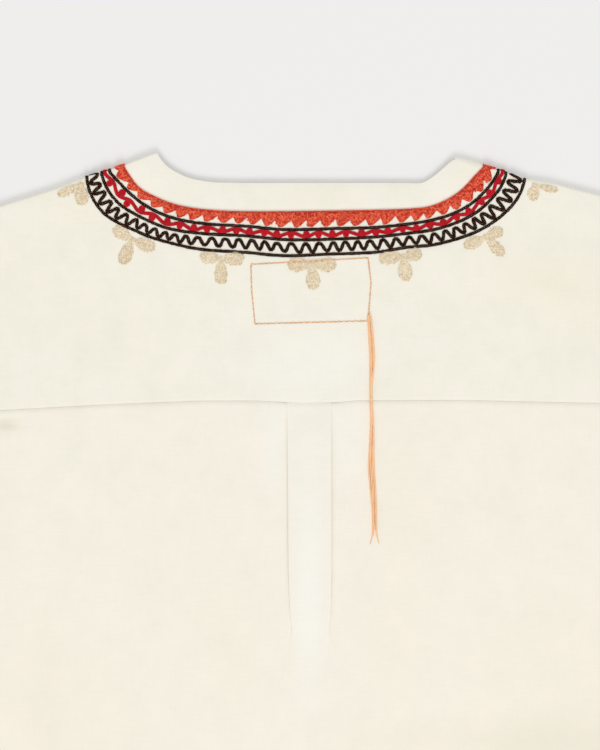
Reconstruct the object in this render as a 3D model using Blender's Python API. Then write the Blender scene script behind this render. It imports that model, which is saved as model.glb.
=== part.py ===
"""Embroidered blouse laid flat, back up, for Blender 4.5.

The front lies on the surface and the back lies on it. The yoke, the neck band and the sleeves go round the
shoulder folds from one layer to the other. Every size below is in millimetres. Plan positions are measured
from the middle of the back neck edge: x to the right as seen from above, y towards the neck, z up from the
surface. The meshes are made in metres.
"""

import math
from collections import namedtuple

import bmesh
import bpy
from mathutils import Vector

MM = 0.001

# Cloth
WALL = 1.1
GAP = 0.3
PITCH = WALL + GAP
BACK_TOP = WALL + PITCH

# Shoulder folds: the cloth rises to a round fold over its last stretch
FOLD_RADIUS = 1.6
FOLD_REACH = 30.0
FOLD_ANGLES = [math.radians(degrees) for degrees in (30, 60, 90, 120, 150, 180)]
EDGE_ANGLES = [math.radians(degrees) for degrees in (90, 45)]

Place = namedtuple("Place", "x y")

# The outline's upper edge from the left armhole to the right one. The middle row only carries the two
# shoulder lines on above the open neck.
FOLD_LINE = (
    Place(-262.0, -34.0),
    Place(-231.0, -24.5),
    Place(-200.0, -15.0),
    Place(-165.0, -4.0),
    Place(-144.5, 4.0),
    Place(-127.0, 9.3),
    Place(-97.5, 20.2),
    Place(0.0, 54.0),
    Place(95.5, 16.9),
    Place(113.0, 12.3),
    Place(124.0, 8.4),
    Place(140.0, 2.7),
    Place(151.0, 1.2),
    Place(161.0, -0.7),
    Place(190.0, -8.1),
    Place(226.0, -17.5),
    Place(262.0, -27.0),
)

# Neck, from the left fold round the back to the right fold. Each row has a point of the opening's edge, the
# direction away from the neck in degrees, and how far along it the band's seam and the three dark lines lie.
Station = namedtuple("Station", "x y bearing seam inner middle outer")
NECK = (
    Station(-97.5, 20.2, 200, 23.4, 33.4, 38.8, 49.1),
    Station(-95.0, 15.0, 207, 23.3, 31.4, 40.0, 51.2),
    Station(-91.6, 11.0, 218, 23.0, 29.8, 39.6, 51.0),
    Station(-85.8, 7.1, 233, 21.0, 29.0, 37.1, 46.8),
    Station(-76.7, 3.2, 250, 19.4, 28.1, 35.4, 44.3),
    Station(-62.4, 0.6, 262, 18.6, 27.5, 34.0, 44.3),
    Station(-41.0, 0.0, 270, 18.9, 28.1, 34.4, 45.2),
    Station(-15.0, 0.0, 270, 18.9, 30.4, 36.9, 47.3),
    Station(14.3, 0.0, 270, 18.5, 29.8, 36.6, 46.3),
    Station(43.5, 0.0, 270, 18.0, 29.0, 35.2, 45.1),
    Station(63.0, 0.0, 272, 17.3, 26.9, 32.9, 41.9),
    Station(73.4, 0.0, 280, 16.4, 25.1, 31.4, 41.0),
    Station(80.0, 3.2, 292, 17.4, 26.7, 33.0, 42.9),
    Station(86.5, 8.4, 308, 18.6, 29.2, 35.7, 47.0),
    Station(92.3, 13.6, 328, 18.4, 29.9, 36.3, 49.4),
    Station(95.5, 16.9, 342, 19.5, 29.4, 34.7, 47.3),
)
LAST = len(NECK) - 1
SHARP_TURN = 9.0

# Front neck, hidden: straight past the folds, then a round scoop and a narrow slit
FRONT_NECK_Y = -80.0
SLIT_END_Y = -230.0
SLIT_TOP = 3.0
SLIT_FOOT = 0.6
SCOOP_STEPS = 7

# Body
HALF_BODY = 262.0
UNDERARM_Y = -260.0
HEM_Y = -700.0
FLARE = 24.0
FLARE_FROM = 150.0
YOKE_FRONT = 25.0
YOKE_SEAM = (
    Place(-262.0, -150.5),
    Place(-200.0, -147.6),
    Place(-132.0, -143.9),
    Place(-70.0, -141.4),
    Place(-32.0, -141.4),
    Place(-5.0, -142.8),
    Place(20.0, -142.4),
    Place(32.0, -141.2),
    Place(100.0, -141.0),
    Place(190.0, -143.0),
    Place(262.0, -145.0),
)
YOKE_STEPS = (0.0, 4.0, 9.0, 15.0, 22.0, 30.0)
FRONT_ROWS = (-150.0, SLIT_END_Y, -262.0, -400.0, -550.0, HEM_Y)

# Box pleat, a row for each section: its two edges, how far the cloth doubles under the strip, how high the
# strip stands over the panel, and how far the folds have opened into a soft ramp
Pleat = namedtuple("Pleat", "y left right depth height opened")
PLEAT = (
    Pleat(-143.0, -13.8, 15.4, 12.0, 2 * PITCH, 0.0),
    Pleat(-190.0, -13.2, 15.4, 10.5, 2 * PITCH, 0.0),
    Pleat(-240.0, -12.9, 15.4, 7.0, 2 * PITCH, 0.0),
    Pleat(-262.0, -12.5, 15.3, 5.0, 2 * PITCH, 0.0),
    Pleat(-285.0, -11.5, 14.8, 2.0, 2 * PITCH, 0.0),
    Pleat(-303.0, -10.0, 13.4, -2.0, 2.7, 0.1),
    Pleat(-320.0, -8.6, 11.0, -2.0, 2.0, 0.6),
    Pleat(-340.0, -7.4, 8.6, -2.0, 1.2, 1.0),
    Pleat(-375.0, -7.0, 8.0, -2.0, 0.4, 1.0),
    Pleat(-420.0, -7.0, 8.0, -2.0, 0.0, 1.0),
    Pleat(-520.0, -7.0, 8.0, -2.0, 0.0, 1.0),
    Pleat(-620.0, -7.0, 8.0, -2.0, 0.0, 1.0),
    Pleat(HEM_Y, -7.0, 8.0, -2.0, 0.0, 1.0),
)
PLEAT_APPROACH = 8.0
RAMP_REACH = 5.0
BACK_COLUMNS = (262.0, 231.0, 200.0, 150.0, 100.0, 62.0, 38.0)

# Sleeves, plain tubes pressed flat, their lower edge from the underarm
SLEEVE_LENGTH = 270.0
SLEEVE_DROP = 20.0
CUFF_WIDTH = 165.0
SLEEVE_STEPS = 5
SLEEVE_ROWS = (0.0, 9.0, 18.0, 30.0)

# Embroidery, each piece just over the cloth
LINE_HALF = 1.2
LINE_THICK = 1.1
CLEAR = 0.8
CORAL_THICK = 0.8
TOOTH_PITCH = 9.4
TOOTH_DEPTH = 3.9
VINE_THICK = 0.9
BEAD_PITCH = 10.2
VINE_HALF = 0.7
BEAD_HALF = 1.5
VINE_SHARE = 0.75
WAVE_PITCH = 9.3
WAVE_HALF = 0.9
WAVE_THICK = 1.0
WAVE_SAMPLES = 6
LINE_SPACING = 5.0

# Trefoils: where the petals meet, and the direction of each petal in degrees
Trefoil = namedtuple("Trefoil", "x y petals")
TREFOILS = (
    Trefoil(-150.0, -1.6, (197, 270)),
    Trefoil(-114.2, -38.6, (151, 239, 331)),
    Trefoil(-57.2, -51.6, (176, 270, 0)),
    Trefoil(2.8, -55.0, (180, 272, 0)),
    Trefoil(60.0, -49.8, (186, 284, 10)),
    Trefoil(115.4, -37.0, (207, 316, 28)),
    Trefoil(149.0, -2.2, (262, 343)),
)
PETAL_LENGTH = 13.5
PETAL_WIDTH = 8.6
TREFOIL_CORE = 1.6
TREFOIL_SIDES = 30
TREFOIL_THICK = 0.6

# Loose thread ends, lying down the back from the corner of the stitching
THREAD_ROUTE = (
    Place(39.6, -88.0),
    Place(40.9, -103.0),
    Place(41.6, -116.0),
    Place(40.9, -136.0),
    Place(41.6, -157.0),
    Place(40.9, -183.0),
    Place(41.6, -196.0),
    Place(42.6, -223.0),
)
STRAND_LENGTHS = (141.0, 148.0, 138.0, 150.0)
STRAND_PITCH = 0.8
STRAND_SIDE = 0.45
STRAND_STEPS = 12
STRAND_SPLAY = 2.2
KNOT_LENGTH = 3.0
KNOT_HEIGHT = 0.9

# Colours, linear
CREAM = (0.885, 0.855, 0.745, 1.0)
CORAL = (0.776, 0.105, 0.046, 1.0)
DARK_BROWN = (0.030, 0.012, 0.010, 1.0)
RED = (0.604, 0.007, 0.018, 1.0)
BEIGE = (0.680, 0.578, 0.392, 1.0)
ORANGE = (0.871, 0.402, 0.205, 1.0)


def clear_scene():
    """Take every object out of the open file."""
    for item in list(bpy.data.objects):
        bpy.data.objects.remove(item, do_unlink=True)


def cloth_material(name, colour, roughness):
    """A plain Principled BSDF."""
    material = bpy.data.materials.new(name)
    material.use_nodes = True
    shader = material.node_tree.nodes["Principled BSDF"]
    shader.inputs["Base Color"].default_value = colour
    shader.inputs["Roughness"].default_value = roughness
    shader.inputs["Metallic"].default_value = 0.0
    material.diffuse_color = colour
    return material


def reading(table, x):
    """The second column of a table at x, straight between its rows."""
    for before, after in zip(table, table[1:]):
        if x <= after[0]:
            break
    share = (x - before[0]) / (after[0] - before[0])
    return before[1] + share * (after[1] - before[1])


def smooth_fall(share):
    """1 at 0 and below, 0 at 1 and above, level at both ends."""
    share = min(max(share, 0.0), 1.0)
    return (1.0 - share) ** 2 * (1.0 + 2.0 * share)


def fold_start(x):
    """Where the flat back ends and its round fold begins."""
    return reading(FOLD_LINE, x) - FOLD_RADIUS


def back_height(distance):
    """Height of the back's outer face at a distance from a fold."""
    return BACK_TOP + (2 * FOLD_RADIUS - BACK_TOP) * smooth_fall(distance / FOLD_REACH)


def back_point(x, y, lift=0.0):
    """A point of the back's outer face, moved out by lift."""
    return Vector((x, y, back_height(fold_start(x) - y) + lift))


def fold_point(x, angle, lift=0.0):
    """A point of a shoulder fold's outer face. The angle is 0 on the back and pi on the front."""
    radius = FOLD_RADIUS + lift
    return Vector((x, fold_start(x) + radius * math.sin(angle), FOLD_RADIUS + radius * math.cos(angle)))


def front_point(x, y, lift=0.0):
    """A point of the front's outer face, which lies on the surface."""
    return Vector((x, y, -lift))


def wall_pair(point, *place):
    """The outer and inner point of the cloth at a place."""
    return point(*place), point(*place, lift=-WALL)


def flared(x, y):
    """x moved out where the sides widen below the underarm."""
    down = min(max((UNDERARM_Y - y) / (UNDERARM_Y - HEM_Y), 0.0), 1.0)
    out = min(max((abs(x) - FLARE_FROM) / (HALF_BODY - FLARE_FROM), 0.0), 1.0)
    return x + math.copysign(FLARE * down * out, x)


def station(u):
    """The neck's measures at u rows along the table, on a smooth curve through its rows."""
    row = min(int(u), LAST - 1)
    t = u - row
    before, start, end, after = (NECK[min(max(n, 0), LAST)] for n in range(row - 1, row + 3))
    weights = (
        (-t + 2 * t**2 - t**3) / 2,
        (2 - 5 * t**2 + 3 * t**3) / 2,
        (t + 4 * t**2 - 3 * t**3) / 2,
        (t**3 - t**2) / 2,
    )
    columns = zip(before, start, end, after)
    return Station(*(sum(w * value for w, value in zip(weights, column)) for column in columns))


def neck_plan(u, distance):
    """Plan position at a distance out from the neck opening's edge, no further than the fold."""
    here = station(u)
    bearing = math.radians(here.bearing)
    x = here.x + distance * math.cos(bearing)
    y = here.y + distance * math.sin(bearing)
    return Place(x, min(y, fold_start(x)))


def neck_steps():
    """Rows of the neck table, with a half row wherever the neck turns sharply."""
    steps = [0.0]
    for n in range(LAST):
        if abs(NECK[n + 1].bearing - NECK[n].bearing) > SHARP_TURN:
            steps.append(n + 0.5)
        steps.append(n + 1.0)
    return steps


def even_steps(distance_at, spacing, per_pitch=1):
    """Table positions at even lengths along a line round the neck.

    Args:
        distance_at: Gives the line's distance from the opening's edge for a Station.
        spacing: Wanted length between repeats.
        per_pitch: Samples in each repeat.

    Returns:
        The positions, with a whole number of repeats between the two folds.
    """
    fine = [LAST * n / 600 for n in range(601)]
    places = [neck_plan(u, distance_at(station(u))) for u in fine]
    lengths = [0.0]
    for a, b in zip(places, places[1:]):
        lengths.append(lengths[-1] + math.dist(a, b))
    count = round(lengths[-1] / spacing) * per_pitch
    table = list(zip(lengths, fine))
    return [reading(table, lengths[-1] * n / count) for n in range(count + 1)]


def solid(name, verts, faces, material, parent):
    """Make one closed object from points in millimetres."""
    mesh = bpy.data.meshes.new(name)
    mesh.from_pydata([vert * MM for vert in verts], [], faces)
    shape = bmesh.new()
    shape.from_mesh(mesh)
    bmesh.ops.recalc_face_normals(shape, faces=shape.faces)
    shape.to_mesh(mesh)
    shape.free()
    mesh.materials.append(material)
    item = bpy.data.objects.new(name, mesh)
    bpy.context.scene.collection.objects.link(item)
    item.parent = parent
    return item


def sheet_solid(name, pairs, cells, material, parent):
    """Close a sheet of cells into a wall.

    Args:
        name: The object's name.
        pairs: Outer and inner point for each (column, row).
        cells: The (column, row) of each cell's first corner.
        material: Its material.
        parent: Its parent.
    """
    used = [key for key in pairs if any(key in corners(cell) for cell in near_cells(key, cells))]
    outer = {key: n for n, key in enumerate(used)}
    verts = [pairs[key][0] for key in used] + [pairs[key][1] for key in used]
    count = len(used)
    faces = []
    edges = {}
    for cell in cells:
        ring = [outer[key] for key in corners(cell)]
        faces.append(ring)
        faces.append([n + count for n in reversed(ring)])
        for a, b in zip(ring, ring[1:] + ring[:1]):
            edges[(a, b)] = True
    for a, b in edges:
        if (b, a) not in edges:
            faces.append([b, a, a + count, b + count])
    return solid(name, verts, faces, material, parent)


def corners(cell):
    """The four (column, row) corners of a cell, in order."""
    column, row = cell
    return ((column, row), (column + 1, row), (column + 1, row + 1), (column, row + 1))


def near_cells(key, cells):
    """The cells that could have this corner."""
    column, row = key
    around = ((column - 1, row - 1), (column - 1, row), (column, row - 1), (column, row))
    return [cell for cell in around if cell in cells]


def grid_cells(sections):
    """Every cell between neighbouring sections, as far as both of them reach."""
    return {
        (i, j)
        for i in range(len(sections) - 1)
        for j in range(min(len(sections[i]), len(sections[i + 1])) - 1)
    }


def grid_pairs(sections):
    """The sections' point pairs by (column, row)."""
    return {(i, j): pair for i, section in enumerate(sections) for j, pair in enumerate(section)}


def wing_columns(side):
    """x of the fold line's rows beyond the neck seam, from the neck outwards."""
    seam_x = abs(seam_end(side, GAP / 2).x)
    rows = [abs(row.x) for row in FOLD_LINE if row.x * side > 0 and abs(row.x) > seam_x + 3]
    return [side * x for x in sorted(rows)]


def seam_end(side, off=0.0):
    """Where the band's seam meets the fold on one side (-1 left, 1 right)."""
    row = NECK[0] if side < 0 else NECK[-1]
    return neck_plan(0 if side < 0 else LAST, row.seam + off)


def front_neck(side, step, distance):
    """Plan position round the front of the neck.

    Args:
        side: -1 left, 1 right.
        step: 0 where the scoop begins and 1 at the slit.
        distance: How far out from the opening's edge.
    """
    fold = neck_plan(0 if side < 0 else LAST, distance)
    width = abs(fold.x)
    turn = step * math.acos(SLIT_TOP / width)
    top = scoop_start(side)
    return Place(side * width * math.cos(turn), top + (FRONT_NECK_Y - distance - top) * math.sin(turn))


def scoop_start(side):
    """y at which the front neck's scoop begins, level with the yoke's seam on the front."""
    return reading(FOLD_LINE, seam_end(side).x) - YOKE_FRONT - GAP


def yoke_section(x, top, wraps):
    """Point pairs of the yoke at x, from the yoke seam up, and round the fold where it wraps."""
    seam = reading(YOKE_SEAM, x)
    low = top - YOKE_STEPS[-1]
    rows = [seam, (seam + low) / 2] + [top - step for step in reversed(YOKE_STEPS)]
    section = [wall_pair(back_point, x, y) for y in rows]
    if wraps:
        section += [wall_pair(fold_point, x, angle) for angle in FOLD_ANGLES]
        section.append(wall_pair(front_point, x, reading(FOLD_LINE, x) - YOKE_FRONT))
    return section


def yoke(material, parent):
    """Upper back, and over both shoulder folds to its seams on the front."""
    left = [yoke_section(x, fold_start(x), True) for x in reversed(wing_columns(-1))]
    right = [yoke_section(x, fold_start(x), True) for x in wing_columns(1)]
    middle = []
    for u in neck_steps():
        place = neck_plan(u, station(u).seam + GAP / 2)
        middle.append(yoke_section(place.x, place.y, u in (0, LAST)))
    sections = left + middle + right
    return sheet_solid("yoke", grid_pairs(sections), grid_cells(sections), material, parent)


def neck_band(material, parent):
    """Stand band round the neck: along the back, round both folds, and along the front to the slit."""

    def shares(seam):
        return [share * (seam - GAP / 2) for share in (0.0, 0.5, 1.0)]

    def front_part(side):
        reach = shares((NECK[0] if side < 0 else NECK[-1]).seam)
        places = [neck_plan(0 if side < 0 else LAST, d) for d in reach]
        part = [[wall_pair(fold_point, place.x, angle) for place in places] for angle in FOLD_ANGLES]
        for n in range(SCOOP_STEPS + 1):
            turned = [front_neck(side, n / SCOOP_STEPS, d) for d in reach]
            part.append([wall_pair(front_point, place.x, place.y) for place in turned])
        return part

    back_part = []
    for u in neck_steps():
        places = [neck_plan(u, d) for d in shares(station(u).seam)]
        back_part.append([wall_pair(back_point, place.x, place.y) for place in places])
    sections = list(reversed(front_part(-1))) + back_part + front_part(1)
    return sheet_solid("neck_band", grid_pairs(sections), grid_cells(sections), material, parent)


def front(material, parent):
    """The front, under everything, with its neck scoop and slit."""
    sections = []
    for side in (-1, 1):
        half = []
        for x in reversed(wing_columns(side)):
            top = reading(FOLD_LINE, x) - YOKE_FRONT - GAP
            half.append([Place(x, top)] + [Place(flared(x, y), y) for y in FRONT_ROWS])
        seam = (NECK[0] if side < 0 else NECK[-1]).seam
        for n in range(SCOOP_STEPS):
            top = front_neck(side, n / SCOOP_STEPS, seam + GAP)
            half.append([top] + [Place(top.x, y) for y in FRONT_ROWS])
        top = front_neck(side, 1.0, seam + GAP)
        down = (top.y - FRONT_ROWS[0]) / (top.y - SLIT_END_Y)
        halfway = SLIT_TOP + (SLIT_FOOT - SLIT_TOP) * down
        widths = [halfway] + [SLIT_FOOT] * (len(FRONT_ROWS) - 1)
        half.append([top] + [Place(side * w, y) for w, y in zip(widths, FRONT_ROWS)])
        sections += half if side < 0 else list(reversed(half))
    walls = [[wall_pair(front_point, place.x, place.y) for place in section] for section in sections]
    slit_column = len(wing_columns(-1)) + SCOOP_STEPS
    slit_row = 1 + FRONT_ROWS.index(SLIT_END_Y)
    cells = {(i, j) for i, j in grid_cells(walls) if i != slit_column or j >= slit_row}
    return sheet_solid("front", grid_pairs(walls), cells, material, parent)


def pleat_curve(row, side):
    """Middle line of the cloth through one edge of the pleat, from the panel up to the strip.

    Args:
        row: The Pleat row.
        side: -1 for the left edge, 1 for the right one.

    Returns:
        (x, height over the panel) pairs, the strip's last.
    """
    radius = PITCH / 2
    edge = row.left if side < 0 else row.right
    turned_in = radius + WALL / 2
    under = [(row.depth + radius * math.cos(a), radius + radius * math.sin(a)) for a in half_turn(-1)]
    over = [(turned_in - radius * math.cos(a), 3 * radius + radius * math.sin(a)) for a in half_turn(-1)]
    folded = under + over
    curve = [(-PLEAT_APPROACH, 0.0)]
    for n, (inward, height) in enumerate(folded):
        share = n / (len(folded) - 1)
        soft = (1 - smooth_fall(share)) * 2 * PITCH
        ramp = RAMP_REACH * (2 * share - 1)
        mixed_x = inward + (ramp - inward) * row.opened
        mixed_z = height + (soft - height) * row.opened
        curve.append((mixed_x, mixed_z * row.height / (2 * PITCH)))
    return [(edge - side * x, z) for x, z in curve]


def half_turn(start):
    """Five angles of a half turn, from straight down to straight up."""
    return [math.radians(start * 90 + 45 * n) for n in range(5)]


def offset_pair(curve, n, y):
    """Outer and inner point at point n of a section's middle line."""
    x, z = curve[n]
    before = Vector(curve[max(n - 1, 0)])
    after = Vector(curve[min(n + 1, len(curve) - 1)])
    here = Vector((x, z))
    into = (here - before).normalized() if n else (after - here).normalized()
    out = (after - here).normalized() if n < len(curve) - 1 else into
    tangent = (into + out).normalized()
    normal = Vector((-tangent.y, tangent.x)) * (WALL / 2) / max(tangent.dot(into), 0.7)
    middle = PITCH + WALL / 2
    return tuple(
        Vector((here.x + sign * normal.x, y, middle + here.y + sign * normal.y)) for sign in (1, -1)
    )


def back(material, parent):
    """The back below the yoke, with a box pleat whose two folds lie in three layers and open lower down."""
    rows = []
    for n, row in enumerate(PLEAT):
        left = [(-x, 0.0) for x in BACK_COLUMNS]
        right = [(x, 0.0) for x in reversed(BACK_COLUMNS)]
        curve = left + pleat_curve(row, -1) + list(reversed(pleat_curve(row, 1))) + right
        placed = []
        for i, (x, _) in enumerate(curve):
            y = reading(YOKE_SEAM, x) - GAP if n == 0 else row.y
            pair = offset_pair(curve, i, y)
            placed.append(tuple(Vector((flared(p.x, y), p.y, p.z)) for p in pair))
        rows.append(placed)
    return sheet_solid("back", grid_pairs(rows), grid_cells(rows), material, parent)


def sleeve_ring(upper, lower):
    """Point pairs all round a flattened sleeve between its upper and lower edge."""
    across = Vector(upper) - Vector(lower)
    width = across.length - 2 * FOLD_RADIUS
    across.normalize()
    start = Vector(lower) + across * FOLD_RADIUS

    def at(distance, height):
        flat = start + across * distance
        return Vector((flat.x, flat.y, height))

    def turn(distance, outwards, angles):
        pairs = []
        for angle in angles:
            pairs.append(
                tuple(
                    at(distance + outwards * r * math.sin(angle), FOLD_RADIUS + r * math.cos(angle))
                    for r in (FOLD_RADIUS, FOLD_RADIUS - WALL)
                )
            )
        return pairs

    rows = [(step, step) for step in SLEEVE_ROWS]
    rows += [(width - step, step) for step in reversed(SLEEVE_ROWS)]
    top = [(at(d, back_height(near)), at(d, back_height(near) - WALL)) for d, near in rows]
    bottom = [(at(width * share, 0.0), at(width * share, WALL)) for share in (0.67, 0.33)]
    return top + turn(width, 1, FOLD_ANGLES) + bottom + turn(0.0, -1, reversed(FOLD_ANGLES))


def sleeve(side, material, parent):
    """A plain sleeve, pressed flat, open at the armhole and at the cuff."""
    drop = math.radians(SLEEVE_DROP)
    seam_x = side * (HALF_BODY + GAP)
    shoulder = Vector((seam_x, reading(FOLD_LINE, side * HALF_BODY)))
    underarm = Vector((seam_x, UNDERARM_Y))
    cuff_top = shoulder + SLEEVE_LENGTH * Vector((side * math.cos(drop), -math.sin(drop)))
    cuff_foot = cuff_top + CUFF_WIDTH * Vector((-side * math.sin(drop), -math.cos(drop)))
    rings = []
    for n in range(SLEEVE_STEPS + 1):
        share = n / SLEEVE_STEPS
        rings.append(sleeve_ring(shoulder.lerp(cuff_top, share), underarm.lerp(cuff_foot, share)))
    name = "sleeve_left" if side < 0 else "sleeve_right"
    return tube_solid(name, rings, material, parent)


def tube_solid(name, rings, material, parent):
    """Close rings of outer and inner points into a tube that is open at both ends."""
    count = len(rings[0])
    verts = [pair[side] for side in (0, 1) for ring in rings for pair in ring]
    inside = len(rings) * count
    faces = []
    for n in range(len(rings) - 1):
        for k in range(count):
            a, b = n * count + k, n * count + (k + 1) % count
            faces.append([a, b, b + count, a + count])
            faces.append([a + inside, a + inside + count, b + inside + count, b + inside])
    for first in (0, (len(rings) - 1) * count):
        for k in range(count):
            a, b = first + k, first + (k + 1) % count
            faces.append([a, b, b + inside, a + inside])
    return solid(name, verts, faces, material, parent)


def strip(name, one_side, other_side, thick, material, parent):
    """Embroidery between two lines on the back, carried on to the edge of each fold."""

    def raised(point, x, other):
        return point(x, other, lift=GAP + thick), point(x, other, lift=GAP)

    sections = [[raised(back_point, *side[n]) for side in (one_side, other_side)] for n in range(len(one_side))]
    for end, grows in ((0, 0), (-1, len(sections))):
        turned = [
            [raised(fold_point, side[end].x, angle) for side in (one_side, other_side)]
            for angle in EDGE_ANGLES
        ]
        sections[grows:grows] = turned if end == 0 else list(reversed(turned))
    return sheet_solid(name, grid_pairs(sections), grid_cells(sections), material, parent)


def ribbon(name, path, halves, thick, material, parent):
    """A strip of varying width along a plan path."""
    sides = ([], [])
    for n, place in enumerate(path):
        before = Vector(path[max(n - 1, 0)])
        after = Vector(path[min(n + 1, len(path) - 1)])
        along = (after - before).normalized()
        normal = Vector((-along.y, along.x)) * halves[n]
        for points, sign in zip(sides, (1, -1)):
            x = place.x + sign * normal.x
            points.append(Place(x, min(place.y + sign * normal.y, fold_start(x))))
    return strip(name, *sides, thick, material, parent)


def dark_line(name, distance_at, material, parent):
    """One of the plain dark lines round the neck."""
    path = [neck_plan(u, distance_at(station(u))) for u in even_steps(distance_at, LINE_SPACING)]
    return ribbon(name, path, [LINE_HALF] * len(path), LINE_THICK, material, parent)


def coral_border(material, parent):
    """Filled border under the band, with a toothed lower edge."""

    def tip(here):
        return here.inner - LINE_HALF - CLEAR

    steps = even_steps(tip, TOOTH_PITCH, 2)
    upper = [neck_plan(u, station(u).seam + 2 * GAP) for u in steps]
    lower = [neck_plan(u, tip(station(u)) - (TOOTH_DEPTH if n % 2 else 0.0)) for n, u in enumerate(steps)]
    return strip("coral_border", upper, lower, CORAL_THICK, material, parent)


def beaded_vine(material, parent):
    """Red vine between the first two dark lines, thick at its beads."""

    def middle(here):
        return (here.inner + here.middle) / 2

    path = []
    halves = []
    for n, u in enumerate(even_steps(middle, BEAD_PITCH, 4)):
        here = station(u)
        room = VINE_SHARE * ((here.middle - here.inner) / 2 - LINE_HALF - GAP)
        bead = min(BEAD_HALF, room)
        path.append(neck_plan(u, middle(here) + (room - bead) * math.cos(math.pi * n / 4)))
        halves.append(bead if n % 4 == 0 else VINE_HALF)
    return ribbon("beaded_vine", path, halves, VINE_THICK, material, parent)


def wave(material, parent):
    """Dark wave between the second and the third dark line."""

    def middle(here):
        return (here.middle + here.outer) / 2

    path = []
    for n, u in enumerate(even_steps(middle, WAVE_PITCH, WAVE_SAMPLES)):
        here = station(u)
        swing = (here.outer - here.middle) / 2 - LINE_HALF - CLEAR - WAVE_HALF
        path.append(neck_plan(u, middle(here) + swing * math.cos(2 * math.pi * n / WAVE_SAMPLES)))
    return ribbon("dark_wave", path, [WAVE_HALF] * len(path), WAVE_THICK, material, parent)


def petal_reach(angle, petals):
    """How far a trefoil's outline lies from where its petals meet, in one direction."""
    reach = TREFOIL_CORE
    for petal in petals:
        off = math.radians(angle - petal)
        if math.cos(off) > 0:
            slim = (PETAL_LENGTH / PETAL_WIDTH * math.sin(off)) ** 2
            reach = max(reach, PETAL_LENGTH * math.cos(off) / (math.cos(off) ** 2 + slim))
    return reach


def trefoil(number, row, material, parent):
    """One beige trefoil, hanging from the outer dark line."""
    rims = []
    for lift in (GAP + TREFOIL_THICK, GAP):
        rim = []
        for n in range(TREFOIL_SIDES):
            angle = 360 * n / TREFOIL_SIDES
            reach = petal_reach(angle, row.petals)
            x = row.x + reach * math.cos(math.radians(angle))
            y = row.y + reach * math.sin(math.radians(angle))
            rim.append(back_point(x, min(y, fold_start(x)), lift))
        rims.append(rim)
    middles = [back_point(row.x, row.y, lift) for lift in (GAP + TREFOIL_THICK, GAP)]
    verts = rims[0] + rims[1] + middles
    count = TREFOIL_SIDES
    faces = []
    for n in range(count):
        after = (n + 1) % count
        faces.append([n, after, 2 * count])
        faces.append([count + after, count + n, 2 * count + 1])
        faces.append([after, n, count + n, count + after])
    return solid(f"trefoil_{number}", verts, faces, material, parent)


def thread_plan(down):
    """Plan position on the loose threads' route, at a length below the knot."""
    rows = [(0.0, THREAD_ROUTE[0])]
    for a, b in zip(THREAD_ROUTE, THREAD_ROUTE[1:]):
        rows.append((rows[-1][0] + math.dist(a, b), b))
    x = reading([(length, place.x) for length, place in rows], down)
    y = reading([(length, place.y) for length, place in rows], down)
    return Place(x, y)


def thread_ends(material, parent):
    """Four loose threads, side by side, from one small knot."""
    count = len(STRAND_LENGTHS)
    first = -(count - 1) / 2 * STRAND_PITCH
    knot = THREAD_ROUTE[0]
    half = STRAND_SIDE / 2
    marks = [first + n * STRAND_PITCH + sign * half for n in range(count) for sign in (-1, 1)]
    verts = []
    for y, height in ((knot.y + KNOT_LENGTH, KNOT_HEIGHT), (knot.y, STRAND_SIDE)):
        for mark in marks:
            verts += [back_point(knot.x + mark, y, GAP), back_point(knot.x + mark, y, GAP + height)]
    row = 2 * len(marks)
    faces = [[0, 1, row + 1, row], [row - 2, 2 * row - 2, 2 * row - 1, row - 1]]
    for n in range(0, row - 2, 2):
        faces.append([n, n + 2, n + 3, n + 1])
        faces.append([n, row + n, row + n + 2, n + 2])
        faces.append([n + 1, n + 3, row + n + 3, row + n + 1])
        if n % 4 == 2:
            faces.append([row + n, row + n + 1, row + n + 3, row + n + 2])
    for n, length in enumerate(STRAND_LENGTHS):
        ring = [row + 4 * n + k for k in (0, 1, 3, 2)]
        for step in range(1, STRAND_STEPS + 1):
            share = step / STRAND_STEPS
            place = thread_plan(length * share)
            x = place.x + (first + n * STRAND_PITCH) * (1 + STRAND_SPLAY * share**6)
            new = len(verts)
            for side, lift in ((-half, 0.0), (-half, STRAND_SIDE), (half, STRAND_SIDE), (half, 0.0)):
                verts.append(back_point(x + side, place.y, GAP + lift))
            after = [new, new + 1, new + 2, new + 3]
            for k in range(4):
                faces.append([ring[k], ring[(k + 1) % 4], after[(k + 1) % 4], after[k]])
            ring = after
        faces.append(ring)
    return solid("thread_ends", verts, faces, material, parent)


def stand_on_origin(parent, items):
    """Move the blouse so that the origin is under the middle of its box."""
    points = [vert.co for item in items for vert in item.data.vertices]
    parent.location.x = -(min(p.x for p in points) + max(p.x for p in points)) / 2
    parent.location.y = -(min(p.y for p in points) + max(p.y for p in points)) / 2
    bpy.context.view_layer.update()


def main():
    """Build the blouse."""
    clear_scene()
    parent = bpy.data.objects.new("blouse", None)
    bpy.context.scene.collection.objects.link(parent)
    cream = cloth_material("cream_linen", CREAM, 0.9)
    coral = cloth_material("coral_thread", CORAL, 0.8)
    brown = cloth_material("dark_brown_thread", DARK_BROWN, 0.8)
    red = cloth_material("red_thread", RED, 0.8)
    beige = cloth_material("beige_thread", BEIGE, 0.8)
    orange = cloth_material("orange_thread", ORANGE, 0.8)
    items = [
        yoke(cream, parent),
        back(cream, parent),
        front(cream, parent),
        neck_band(cream, parent),
        sleeve(-1, cream, parent),
        sleeve(1, cream, parent),
        coral_border(coral, parent),
        dark_line("dark_line_inner", lambda here: here.inner, brown, parent),
        dark_line("dark_line_middle", lambda here: here.middle, brown, parent),
        dark_line("dark_line_outer", lambda here: here.outer, brown, parent),
        beaded_vine(red, parent),
        wave(brown, parent),
        thread_ends(orange, parent),
    ]
    items += [trefoil(n + 1, row, beige, parent) for n, row in enumerate(TREFOILS)]
    stand_on_origin(parent, items)


main()
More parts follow.
